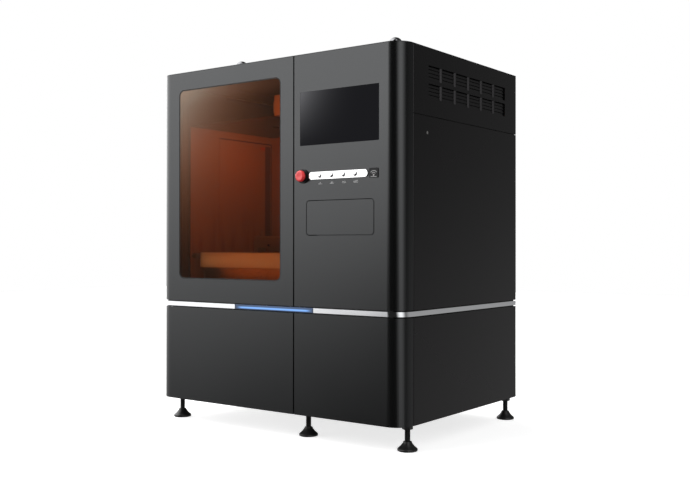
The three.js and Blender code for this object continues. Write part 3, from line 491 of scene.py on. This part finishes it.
def make_foot(node):
    """A levelling foot: pad, cone and threaded stem, with a lock nut under the frame."""
    low, high = cad(node)
    centre = ((low.x + high.x) / 2, (low.y + high.y) / 2, 0)
    pad = (high.x - low.x) / 2
    stem, root, pitch = 13.9, 12.7, 3.0
    profile = [(0, 0), (pad - 3, 0), (pad - 1, 1), (pad, 3), (pad, 10), (pad - 1, 12), (pad - 4, 14),
               (34, 25), (24, 38), (22, 42), (21, 46), (18, 47), (root, 47)]
    height = 47
    while height + pitch < high.z:
        profile += [(stem, height + 0.35 * pitch), (stem, height + 0.6 * pitch),
                    (root, height + 0.95 * pitch)]
        height += pitch
    profile += [(root, high.z), (0, high.z)]
    Piece().lathe("z", centre, profile).finish(node + "_levelling", "black_paint", "cabinet", stands_for=node)
    nut_top = cad("lower_left_door")[0].z - 0.5
    profile = [(stem, nut_top - 25), (26, nut_top - 25), (27, nut_top - 23), (27, nut_top - 2), (26, nut_top),
               (stem, nut_top), (stem, nut_top - 25)]
    Piece().lathe("z", centre, profile, 6).finish(node + "_lock_nut", "black_paint", "cabinet", 0.8)


def make_roof_cap(node):
    low, high = cad(node)
    centre = ((low.x + high.x) / 2, (low.y + high.y) / 2, low.z)
    radius, height = (high.x - low.x) / 2, high.z - low.z
    skirt = 0.27 * height
    profile = [(0, 0), (radius - 1, 0), (radius, 1)]
    profile += [(radius * math.cos(math.pi / 2 * i / 12),
                     skirt + (height - skirt) * math.sin(math.pi / 2 * i / 12))
                for i in range(12)]
    profile.append((0, height))
    Piece().lathe("z", centre, profile, 64).finish(
        node + "_dome", (cap_finish(), "chrome_trim"), "cabinet", stands_for=node)


def make_roof():
    for node in ("roof_cap_left", "roof_cap_right"):
        make_roof_cap(node)
    low, high = cad("roof_cover")
    screws = Piece()
    for y in (-440, -90, 260, high.y - 30):
        for x in (low.x + 30, high.x - 30):
            screws.screw("z", (x, y, high.z), 1, 5, 2)
    for x in (-420, 0, 420):
        screws.screw("z", (x, high.y - 30, high.z), 1, 5, 2)
    screws.finish("roof_screws", "steel", "cabinet")


# ---------------------------------------------------------------------------------------------
# Sides: vents, locks
# ---------------------------------------------------------------------------------------------

VENT_FRONT, VENT_REAR, VENT_BAR, VENT_COLUMNS = -369, 460, 24, 6
VENT_ROWS = ((1730, 1802), (1820, 1892))
SLATS = 4


def make_vents(word, side):
    """Steep slats in every cell, and a dark filter screen behind them."""
    screen_x = cad("welded_frame")[1].x + 0.6
    bottom, top = VENT_ROWS[0][0] - 14, VENT_ROWS[1][1] + 14
    Piece().block((side * screen_x, VENT_FRONT - 14, bottom),
                  (side * (screen_x + 1.4), VENT_REAR + 14, top)).finish(
        word + "_vent_filter", "black_plastic", "cabinet")
    pitch = (VENT_REAR - VENT_FRONT + VENT_BAR) / VENT_COLUMNS
    outer, inner, rise, thickness = side * 830.0, side * 826.5, 16.0, 1.0
    blades = Piece()
    for low, high in VENT_ROWS:
        for column in range(VENT_COLUMNS):
            start = VENT_FRONT + column * pitch + 0.5
            for i in range(SLATS):
                z = low + 1.5 + i * (high - low) / SLATS
                section = [(outer, z), (inner, z + rise),
                           (inner, z + rise - thickness), (outer, z - thickness)]
                blades.prism(section, "y", start, start + pitch - VENT_BAR - 1)
    blades.finish(word + "_vent_louvres", "side_paint", "cabinet")


def make_panel_lock(word, side):
    """A flush quarter-turn lock near the front of the lower side panel."""
    face = side * cad("right_lower_panel")[1].x
    centre = (face, -380, 1557)
    # Painted shade: a dark rubber ring around the lock stands for the shadow in the gap around it.
    Piece().tube("x", centre, 7.5, 10.5, -1.5 * side, 0.15 * side, 32).finish(
        word + "_lock_shadow_ring", "seal_rubber", "cabinet")
    lock = Piece().rod("x", centre, 7.2, -1.5 * side, 0.2 * side, 32)
    lock.block((face - side, -387, 1556.2), (face + 0.25 * side, -373, 1557.8))
    lock.finish(word + "_lock_cylinder", "steel", "cabinet")


# ---------------------------------------------------------------------------------------------
# Light bar, controls
# ---------------------------------------------------------------------------------------------

def make_light_bar():
    NODES["led_bar"].data.materials[0] = led_finish()
    low, high = cad("led_bar")
    ends = Piece()
    for left, right in ((low.x, low.x + 3), (high.x - 3, high.x)):
        ends.block((left, low.y - 0.3, low.z), (right, high.y, high.z))
    ends.finish("led_bar_ends", "seal_rubber", "cabinet")
    low, high = cad("chrome_band")
    joints = Piece()
    for z in (low.z - 3, high.z + 3):
        joints.block((low.x + 60, low.y + 12, z - 2.4), (high.x - 60, low.y + 14, z + 2.4))
    joints.finish("band_shadow_strips", "seal_rubber", "cabinet")


def make_joint_backing():
    """Rubber strips behind the joints of the side panels, so that no light shows through them."""
    strips = Piece()
    frame_x = cad("welded_frame")[1].x + 0.6
    band_low, band_high = cad("chrome_band")
    split = (cad("right_lower_panel")[1].z + cad("right_upper_panel")[0].z) / 2
    front, rear, depth = -490, 590, 4
    joints = ((split, 12), (band_low.z - 3, 2.4), (band_high.z + 3, 2.4))  # each middle and half width
    for side in (-1, 1):
        for z, half in joints:
            strips.block((side * frame_x, front, z - half), (side * (frame_x + depth), rear, z + half))
    strips.finish("panel_joint_strips", "seal_rubber", "cabinet")


def make_push_button(node):
    """A domed cap on the CAD button's stem."""
    low, high = cad(node)
    centre = ((low.x + high.x) / 2, 0, (low.z + high.z) / 2)
    radius, front = (high.x - low.x) / 2, low.y
    dome = [(radius * math.cos(math.pi / 2 * i / 8), front + 4.5 - 4.5 * math.sin(math.pi / 2 * i / 8))
            for i in range(8)]
    profile = [(0, high.y), (6, high.y), (6, front + 5.5), (radius - 0.5, front + 5.5), (radius, front + 5)]
    Piece().lathe("y", centre, profile + dome + [(0, front)], 40).finish(
        node + "_dome", (button_material, "white_plastic"), node, stands_for=node)
    Piece().tube("y", centre, radius + 0.05, radius + 0.65, front + 3.2, front + 8, 40).finish(
        node + "_shadow_ring", "seal_rubber", "cabinet")


def make_stop():
    """The emergency stop's mushroom head with its shallow finger dish."""
    low, high = cad("emergency_stop_head")
    x, z = (low.x + high.x) / 2, (low.z + high.z) / 2
    radius, front, back = (high.x - low.x) / 2, low.y, high.y
    profile = [(10.3, back), (radius - 6, back), (radius - 1.5, back - 3),
               (radius, back - 6), (radius, front + 9)]
    profile += [(radius - 8 + 8 * math.cos(math.radians(a)), front + 9 - 9 * math.sin(math.radians(a)))
                for a in range(15, 91, 15)]
    profile += [(14, front + 0.3), (8, front + 1.0), (0, front + 1.3)]
    profile = [(0, back - 8), (10.3, back - 8)] + profile
    Piece().lathe("y", (x, 0, z), profile, 64).finish(
        "emergency_stop_mushroom", "red_plastic", "stop_head", stands_for="emergency_stop_head")


def print_mark(name, outlines, face):
    """A printed mark 0.15 mm proud of the plane y = face."""
    mark = Piece()
    for outline in outlines:
        mark.prism(outline, "y", face - 0.15, face + 0.5)
    mark.finish(name, (print_material, "white_plastic"), "cabinet")


def ring_halves(centre, inner, outer):
    return [arc(centre, outer, a, a + 180) + arc(centre, inner, a + 180, a) for a in (0, 180)]


def make_controls():
    NODES["button_bezel"].data.materials[0] = bezel_material
    for i in range(1, 5):
        make_push_button(f"push_button_{i}")
    make_stop()

    # Under each button, a dash with one to four pips.
    front = cad("control_fascia")[0].y
    row = cad("button_bezel")[0].z - 20
    for i in range(1, 5):
        low, high = cad(f"push_button_{i}")
        x = (low.x + high.x) / 2
        pips = [rounded(x - 3.5 * i + 7 * k + 1, x - 3.5 * i + 7 * k + 6, row, row + 5, 1) for k in range(i)]
        print_mark(f"button_mark_{i}", pips + [rounded(x - 13, x + 13, row - 5, row - 2.5, 1)], front)

    # The reader shows a dot and two arcs.
    low, high = cad("card_reader")
    centre = ((low.x + high.x) / 2, low.z + 13)
    waves = [arc(centre, r + 3, 35, 145) + arc(centre, r, 145, 35) for r in (11, 20)]
    print_mark("reader_glyph", waves + ring_halves(centre, 0.01, 4.5)
               + [rounded(centre[0] - 18, centre[0] + 18, low.z + 3.5, low.z + 6.5, 1)], low.y)


def make_keyboard():
    """Key caps on the board. The row nearest to the user is the highest while the flap is shut."""
    low, high = cad("keyboard")
    pitch_x, pitch_z, gap = (high.x - low.x - 12) / 19, (high.z - low.z - 8) / 6, 1.6
    keys = Piece()
    for row in range(6):
        z = low.z + 4 + row * pitch_z
        column = 0
        while column < 19:
            span = 6 if (row == 5 and column == 4) else 1
            if not (column == 15 or (row == 0 and column == 1)):
                x = low.x + 6 + column * pitch_x
                keys.block((x, high.y - 0.2, z), (x + span * pitch_x - gap, high.y + 3.4, z + pitch_z - gap))
            column += span
    keys.finish("keyboard_keys", "black_plastic", "keyboard_flap", 1.0)
    flap_low, flap_high = cad("keyboard_flap")
    middle = (flap_low.x + flap_high.x) / 2
    Piece().block((middle - 18, flap_low.y + 3, flap_high.z - 16),
                  (middle + 18, flap_low.y + 9, flap_high.z - 10)).finish(
        "keyboard_flap_catch", "steel", "keyboard_flap", 0.6)


# ---------------------------------------------------------------------------------------------
# Doors
# ---------------------------------------------------------------------------------------------

def make_door_stiffeners(node, left, right, heights):
    """Folded channels across the inside of a door."""
    inner = cad(node)[0].y + 3
    channels = Piece()
    for z in heights:
        channels.prism([(inner, z - 28), (inner, z + 28), (inner + 1.5, z + 28), (inner + 1.5, z + 20),
                        (inner + 16, z + 16), (inner + 16, z - 16),
                        (inner + 1.5, z - 20), (inner + 1.5, z - 28)],
                       "x", left, right)
    channels.finish(node + "_stiffeners", "shell_paint", node, 0.8)


def make_pane_clamps():
    """Strips and screws that hold the pane against the inside of the window door."""
    low, high = cad("window_pane")
    y0, y1, width = high.y + 0.3, high.y + 3.3, 16
    strips = Piece()
    strips.block((low.x, y0, low.z), (low.x + width, y1, high.z))
    strips.block((high.x - width, y0, low.z), (high.x, y1, high.z))
    strips.block((low.x + width + 1, y0, low.z), (high.x - width - 1, y1, low.z + width))
    strips.block((low.x + width + 1, y0, high.z - width), (high.x - width - 1, y1, high.z))
    strips.finish("pane_clamp_strips", "black_paint", "window_door", 0.6)
    screws = Piece()
    for i in range(7):
        z = low.z + 40 + i * (high.z - low.z - 80) / 6
        for x in (low.x + width / 2, high.x - width / 2):
            screws.screw("y", (x, y1, z), 1, 3.5, 2.5)
    for i in range(5):
        x = low.x + 60 + i * (high.x - low.x - 120) / 4
        for z in (low.z + width / 2, high.z - width / 2):
            screws.screw("y", (x, y1, z), 1, 3.5, 2.5)
    screws.finish("pane_clamp_screws", "steel", "window_door")


def make_frame_seals():
    """Foam strips on the front of the frame, where the doors close."""
    front = cad("welded_frame")[0].y
    frame_front = max(front, -495)
    seals = Piece()
    for left, right, low, high in ((-765, 134, 698, 704), (-765, 134, 1916, 1922), (-765, -759, 705, 1915),
                                   (128, 134, 705, 1915)):
        seals.block((left, frame_front - 5, low), (right, frame_front - 0.3, high))
    seals.finish("chamber_door_seal", "seal_rubber", "cabinet", 1.0)


# ---------------------------------------------------------------------------------------------
# Build chamber
# ---------------------------------------------------------------------------------------------

HATCH_FRONT, HATCH_REAR, HATCH_LOW, HATCH_HIGH = -189, 285, 1000, 1650


def make_hatch():
    """Painted shade along the top and rear edges of the service hatch in the chamber's left wall, then its
    pull channel and catches.
    """
    wall = cad("chamber_liner")[0].x + 3
    face = wall + 4
    width = 7
    # Painted shade: dark strips where the gap around the hatch lies in shadow.
    seal = Piece()
    seal.block((wall, HATCH_FRONT, HATCH_HIGH), (face - 1, HATCH_REAR, HATCH_HIGH + width))
    seal.block((wall, HATCH_REAR, HATCH_LOW), (face - 1, HATCH_REAR + width, HATCH_HIGH + width))
    seal.finish("hatch_gap_shade", "seal_rubber", "cabinet")
    channel = Piece()
    channel.block((face - 1, HATCH_REAR - 58, HATCH_LOW + 12), (face + 1, HATCH_REAR - 6, HATCH_HIGH - 12))
    channel.finish("hatch_pull_channel", (channel_material, "black_paint"), "cabinet", 0.5)
    catches = Piece()
    for z0, z1 in ((HATCH_HIGH - 34, HATCH_HIGH - 20), (HATCH_LOW + 20, HATCH_LOW + 50)):
        catches.block((face - 1, HATCH_REAR - 104, z0), (face + 2.4, HATCH_REAR - 62, z1))
    catches.finish("hatch_catches", (catch_material, "red_plastic"), "cabinet", 0.4)


def make_vat_details():
    """A pale strip around the front of the vat's rim, and a drain tap low on its front."""
    low, high = cad("resin_vat")
    radius, proud, strip_height = 60, 1.5, 86
    front = (arc((low.x + radius, low.y + radius), radius, 180, 270)
             + arc((high.x - radius, low.y + radius), radius, 270, 360))
    outer = (arc((high.x - radius, low.y + radius), radius + proud, 360, 270)
             + arc((low.x + radius, low.y + radius), radius + proud, 270, 180))
    Piece().prism(front + outer, "z", high.z - strip_height, high.z - 1).finish(
        "vat_rim_strip", (vat_material, "white_plastic"), "cabinet")
    middle = (low.x + high.x) / 2
    tap = Piece().rod("y", (middle, 0, low.z + 60), 14, low.y + 8, low.y + 30)
    tap.rod("y", (middle, 0, low.z + 60), 8, low.y - 30, low.y + 10)
    tap.block((middle - 30, low.y - 26, low.z + 66), (middle + 30, low.y - 20, low.z + 74))
    tap.finish("vat_drain_tap", "steel", "cabinet", 0.6)


def make_recoater_details():
    """Blade clamp with its thumb screws, and a levelling micrometer at each end."""
    low, high = cad("recoater")
    middle = (low.x + high.x) / 2
    Piece().block((middle - 340, low.y - 5, low.z + 30), (middle + 340, low.y - 0.1, low.z + 62)).finish(
        "blade_clamp_bar", "steel", "recoater", 0.8)
    screws = Piece()
    for i in range(7):
        screws.screw("y", (middle - 300 + 100 * i, low.y - 5, low.z + 46), -1, 7, 7)
    screws.finish("blade_clamp_screws", "black_plastic", "recoater")
    gauges = Piece()
    for x in (low.x + 30, high.x - 30):
        gauges.rod("z", (x, (low.y + high.y) / 2, 0), 11, high.z - 1, high.z + 20, 32)
        gauges.rod("z", (x, (low.y + high.y) / 2, 0), 7, high.z + 20, high.z + 34, 32)
    gauges.finish("recoater_levelling_screws", "steel", "recoater", 0.8)


def make_elevator_details():
    low, high = cad("elevator_carriage")
    plate = low.x + (high.x - low.x) / 2
    nut_top = high.z
    Piece().tube("z", (plate, 326, 0), 11.5, 17, nut_top - 0.2, nut_top + 26, 32).finish(
        "ball_nut", "steel", "elevator", 0.6)
    screws = Piece()
    for dx in (-85, 85):
        for z in (1200, 1270, 1340):
            screws.screw("y", (plate + dx, 306, z), -1, 6, 2)  # low heads, which pass behind the liner
    for dx in (-140, -55, 55, 140):
        screws.screw("y", (plate + dx, 205, nut_top - 20), -1, 6, 6)
    screws.finish("carriage_screws", "black_paint", "elevator")
    low, high = cad("elevator_motor")
    Piece().block((low.x + 4, low.y + 4, high.z - 0.2), (high.x - 4, high.y - 4, high.z + 7)).block(
        (low.x + 25, high.y - 0.2, high.z - 50), (high.x - 25, high.y + 26, high.z - 22)).finish(
        "elevator_motor_cap", "black_plastic", "cabinet", 1.2)
    bolts = Piece()
    for x in (low.x + 9, high.x - 9):
        for y in (low.y + 9, high.y - 9):
            bolts.screw("z", (x, y, high.z), 1, 4, 5)
    bolts.finish("elevator_motor_screws", "steel", "cabinet")


# ---------------------------------------------------------------------------------------------
# Optics and electrics
# ---------------------------------------------------------------------------------------------

def make_optics_details():
    low, high = cad("laser_unit")
    fins = Piece()
    for i in range(17):
        x = low.x + 15 + i * (high.x - low.x - 30) / 16
        fins.block((x - 1.5, low.y + 60, high.z - 0.2), (x + 1.5, high.y - 90, high.z + 26))
    fins.finish("laser_cooling_fins", "aluminium", "cabinet")
    screws = Piece()
    for y in (low.y + 15, low.y + 45, high.y - 75, high.y - 15):
        for x in (low.x + 15, high.x - 15):
            screws.screw("z", (x, y, high.z), 1, 5, 4)
    screws.finish("laser_cover_screws", "steel", "cabinet")
    Piece().tube("x", (0, -105, 1810), 8, 13, low.x - 95, low.x + 0.2, 40).tube(
        "x", (0, -105, 1810), 12.9, 22, low.x - 10, low.x + 0.2, 40).finish(
        "beam_tube", "black_paint", "cabinet", 0.6)
    low, high = cad("galvo_scanner")
    cover = Piece()
    for i in range(6):
        y = high.y - 54 + i * 9
        cover.block((low.x + 30, y, high.z - 0.2), (high.x - 6, y + 3, high.z + 14))
    cover.finish("galvo_cooling_fins", "aluminium", "cabinet")
    low, high = cad("optics_deck")
    rim = Piece()
    rim.tube("z", ((low.x + high.x) / 2, -85, 0), 80.2, 92, high.z - 0.2, high.z + 4, 48)
    rim.finish("deck_window_ring", "aluminium", "cabinet", 0.6)


def make_electrics_details():
    """Cover, breakers, rotary switch and glands of the electrics box, and trunking up to the computer."""
    low, high = cad("electrics_box")
    front = low.y
    cover = Piece().block((low.x + 8, front - 2, low.z + 8), (high.x - 8, front + 0.2, high.z - 8))
    cover.finish("electrics_cover", "frame_paint", "cabinet", 0.6)
    breakers = Piece()
    for i in range(8):
        x = low.x + 45 + i * 18
        breakers.block((x, front - 12, low.z + 270), (x + 17.4, front - 1.8, low.z + 350))
        breakers.block((x, front - 20, low.z + 288), (x + 17.4, front - 11.8, low.z + 332))
    breakers.finish("circuit_breakers", "white_plastic", "cabinet", 0.5)
    levers = Piece()
    for i in range(8):
        x = low.x + 45 + i * 18
        levers.block((x + 5, front - 28, low.z + 312), (x + 12.4, front - 19.8, low.z + 322))
    levers.finish("breaker_levers", "black_plastic", "cabinet", 0.5)
    centre = (high.x - 110, 0, low.z + 310)
    Piece().tube("y", centre, 12, 32, front - 8, front - 1.9, 48).finish(
        "main_switch_plate", "black_plastic", "cabinet")
    switch = Piece().rod("y", centre, 24, front - 26, front - 8, 40)
    switch.block((centre[0] - 6, front - 38, centre[2] - 23), (centre[0] + 6, front - 25.8, centre[2] + 23))
    switch.finish("main_switch_knob", "red_plastic", "cabinet", 1.0)
    slots = Piece()
    for i in range(10):
        z = low.z + 50 + i * 14
        slots.block((low.x + 60, front - 2.3, z), (high.x - 60, front - 1.5, z + 5))
    slots.finish("electrics_vent_slots", "seal_rubber", "cabinet")
    screws = Piece()
    for x in (low.x + 20, high.x - 20):
        for z in (low.z + 20, (low.z + high.z) / 2, high.z - 20):
            screws.screw("y", (x, front - 2, z), -1, 5, 3)
    screws.finish("electrics_screws", "steel", "cabinet")
    glands = Piece()
    for i in range(5):
        glands.lathe("z", (low.x + 60 + 38 * i, 60, high.z),
                     [(0, -0.2), (13, -0.2), (13, 9), (9, 12), (9, 22), (0, 22)], 6)
    glands.finish("cable_glands", "black_plastic", "cabinet", 0.5)
    computer_low, computer_high = cad("panel_computer")
    trunk = Piece().block((low.x + 380, -440, low.z + 30), (low.x + 420, -400, computer_low.z + 60))
    trunk.finish("cable_trunking", "white_plastic", "cabinet", 1.0)
    low, high = computer_low, computer_high
    fins = Piece()
    for i in range(24):
        x = low.x + 25 + i * (high.x - low.x - 50) / 23
        fins.block((x - 1, high.y - 0.2, low.z + 20), (x + 1, high.y + 14, high.z - 60))
    fins.finish("computer_cooling_fins", "black_paint", "cabinet")
    ports = Piece()
    for i in range(4):
        ports.block((low.x + 60 + 45 * i, high.y - 0.2, high.z - 42),
                    (low.x + 92 + 45 * i, high.y + 5, high.z - 24))
    ports.finish("computer_ports", "steel", "cabinet", 0.5)


def make_back():
    """Fan guard rings, screws, a blank plate over the inlet and the fixings of the rear panels."""
    low, high = cad("exhaust_fan_housing")
    x, z = (low.x + high.x) / 2, (low.z + high.z) / 2
    rings = Piece()
    for radius in (32, 44, 56, 68):
        section = [(radius + 1.4 * math.cos(math.radians(a)), high.y - 1.5 + 1.4 * math.sin(math.radians(a)))
                   for a in range(0, 361, 60)]
        rings.lathe("y", (x, 0, z), section, 64)
    rings.finish("fan_guard_rings", "steel", "cabinet")
    screws = Piece()
    for dx in (-84, 84):
        for dz in (-84, 84):
            screws.screw("y", (x + dx, low.y + 5, z + dz), 1, 5, 3.5)
    inlet_low, inlet_high = cad("power_inlet")
    x, z = (inlet_low.x + inlet_high.x) / 2, (inlet_low.z + inlet_high.z) / 2
    for dx in (-37, 37):
        for dz in (-37, 37):
            screws.screw("y", (x + dx, inlet_low.y + 8, z + dz), 1, 3.5, 2.5)
    panel_low, panel_high = cad("rear_upper_panel")
    lower_low, lower_high = cad("rear_lower_panel")
    for bottom, top, count in ((panel_low.z, panel_high.z, 5), (lower_low.z, lower_high.z, 3)):
        for i in range(count):
            height = bottom + 30 + i * (top - bottom - 60) / (count - 1)
            for edge_x in (panel_low.x + 18, panel_high.x - 18):
                screws.screw("y", (edge_x, panel_high.y, height), 1, 5, 2)
        for i in range(1, 5):
            along = panel_low.x + 18 + i * (panel_high.x - panel_low.x - 36) / 5
            for height in (bottom + 30, top - 30):
                screws.screw("y", (along, panel_high.y, height), 1, 5, 2)
    screws.finish("rear_screws", "steel", "cabinet")
    Piece().block((x - 75, panel_high.y + 0.05, z + 90), (x + 75, panel_high.y + 1.2, z + 170)).finish(
        "blank_plate", "aluminium", "cabinet", 0.4)
    gasket = Piece()
    gasket.tube("y", (x, 0, z), 27.2, 31, inlet_high.y - 0.2, inlet_high.y + 1.2, 48)
    gasket.finish("inlet_collar_ring", "steel", "cabinet")


bezel_material = Finish("bezel_satin", (0.88, 0.88, 0.88), 0.22, 1.0).material
button_material = Finish("button_satin", (0.86, 0.86, 0.87), 0.16, 1.0).material
print_material = Finish("grey_print", (0.42, 0.42, 0.42), 0.5).material
channel_material = Finish("channel_paint", (0.16, 0.08, 0.04), 0.45).material
catch_material = Finish("catch_plastic", (0.85, 0.16, 0.05), 0.35).material
vat_material = Finish("vat_rim_enamel", (0.80, 0.74, 0.72), 0.42).material


def make_pieces():
    for node in sorted(name for name in NODES if name.startswith("foot_")):
        make_foot(node)
    make_roof()
    for word, side in (("left", -1), ("right", 1)):
        make_vents(word, side)
        make_panel_lock(word, side)
    make_light_bar()
    make_joint_backing()
    make_controls()
    make_keyboard()
    make_door_stiffeners("lower_left_door", -690, 130, (240, 400, 560))
    make_door_stiffeners("lower_right_door", 205, 690, (240, 400, 560))
    make_pane_clamps()
    make_frame_seals()
    make_hatch()
    make_vat_details()
    make_recoater_details()
    make_elevator_details()
    make_optics_details()
    make_electrics_details()
    make_back()


# ---------------------------------------------------------------------------------------------
# Lights, floor and world
# ---------------------------------------------------------------------------------------------

def area_light(name, place, aim, size, power, colour=(1.0, 1.0, 1.0), shape="RECTANGLE"):
    data = bpy.data.lights.new(name, "AREA")
    data.shape = shape
    data.size, data.size_y = size
    data.energy = power
    data.color = colour
    light = bpy.data.objects.new(name, data)
    light.location = place
    light.rotation_euler = (Vector(aim) - Vector(place)).to_track_quat("-Z", "Y").to_euler()
    light.visible_camera = False
    bpy.context.scene.collection.objects.link(light)
    return light


def make_floor():
    """A pale floor that only the camera sees, so that it adds nothing to what the machine reflects."""
    half = 14.0
    bpy.ops.mesh.primitive_plane_add(size=2 * half, location=(0, 0, -0.0005))
    floor = bpy.context.object
    floor.name = "floor"
    made = Finish("pale_floor", (0.8, 0.8, 0.8), 0.9)
    made.put(made.shader.inputs["Emission Color"], (1.0, 1.0, 1.0, 1.0))
    made.put(made.shader.inputs["Emission Strength"], 0.75)
    floor.data.materials.append(made.material)
    floor.visible_glossy = False
    floor.visible_diffuse = False


def make_world():
    """White for the camera. What the machine reflects is a studio: a broad grey card at the front left
    that darkens towards the floor, a black gap straight ahead, a strip light at the front right, and a
    dim room behind."""
    world = bpy.data.worlds.new("studio")
    bpy.context.scene.world = world
    world.use_nodes = True
    sky = Tree(world.node_tree)
    direction = sky.add("ShaderNodeSeparateXYZ")
    sky.link(sky.add("ShaderNodeTexCoord").outputs["Generated"], direction.inputs[0])
    backwards = sky.math("MULTIPLY", direction.outputs["Y"], -1.0)
    turn = sky.math("ARCTAN2", direction.outputs["X"], backwards)
    degrees = sky.math("MULTIPLY", turn, 180 / math.pi)
    height = direction.outputs["Z"]

    # The card's right edge leans: it lies further left at the bottom than at the top.
    lean = sky.spread(height, -0.26, 0.17, 30.0, 0.0)
    right_edge = sky.spread(sky.math("ADD", degrees, lean), -30.0, -5.0, 1.0, 0.0, smooth=True)
    left_edge = sky.spread(degrees, -150.0, -110.0, 0.0, 1.0, smooth=True)
    card_height = sky.spread(height, -0.26, 0.22, 0.38, 2.85, smooth=True)
    card_light = sky.math("MULTIPLY", sky.math("MULTIPLY", right_edge, left_edge), card_height)

    strip = sky.math("MULTIPLY", sky.spread(degrees, 26.0, 54.0, 0.0, 1.0, smooth=True),
                     sky.spread(degrees, 60.0, 92.0, 1.0, 0.0, smooth=True))
    strip_light = sky.math("MULTIPLY", strip, sky.spread(height, -0.20, 0.20, 0.75, 1.9))

    behind = sky.spread(degrees, 70.0, 120.0, 0.0, 1.0, smooth=True)
    far_left = sky.spread(degrees, -160.0, -110.0, 1.0, 0.0, smooth=True)
    room = sky.math("MAXIMUM", behind, far_left)
    room_light = sky.math("MULTIPLY", room, sky.spread(height, -0.16, 0.17, 0.36, 0.15, smooth=True))

    total = sky.math("ADD", sky.math("ADD", card_light, strip_light), sky.math("ADD", room_light, 0.015))
    studio = sky.add("ShaderNodeBackground")
    studio.inputs["Color"].default_value = (1.0, 1.0, 1.0, 1.0)
    sky.link(total, studio.inputs["Strength"])
    white = sky.add("ShaderNodeBackground")
    white.inputs["Color"].default_value = (1.0, 1.0, 1.0, 1.0)
    chooser = sky.add("ShaderNodeMixShader")
    sky.link(sky.add("ShaderNodeLightPath").outputs["Is Camera Ray"], chooser.inputs["Fac"])
    sky.link(studio.outputs[0], chooser.inputs[1])
    sky.link(white.outputs[0], chooser.inputs[2])
    output = sky.add("ShaderNodeOutputWorld")
    sky.link(chooser.outputs[0], output.inputs["Surface"])


def make_lights():
    area_light("chamber_lamp", (-0.46, -0.02, 1.685), (-0.78, -0.02, 1.30), (0.26, 0.26), 1.0,
               (1.0, 0.42, 0.10))
    vat_lamp = area_light("vat_lamp", (-0.30, -0.575, 0.905), (-0.30, -0.435, 0.914), (0.74, 0.02), 0.09,
                          (0.75, 0.95, 1.0))
    vat_lamp.data.spread = math.radians(70)
    area_light("bar_glow", (0.027, -0.64, 0.670), (0.027, -0.605, 0.670), (0.46, 0.01), 0.06,
               (0.25, 0.50, 1.0))
    area_light("overhead", (-1.0, -1.5, 4.2), (0.0, 0.0, 1.0), (3.0, 2.0), 40.0)


# ---------------------------------------------------------------------------------------------
# Assembly
# ---------------------------------------------------------------------------------------------

make_camera()
dress_cad_nodes()
make_pieces()
make_floor()
make_world()
make_lights()
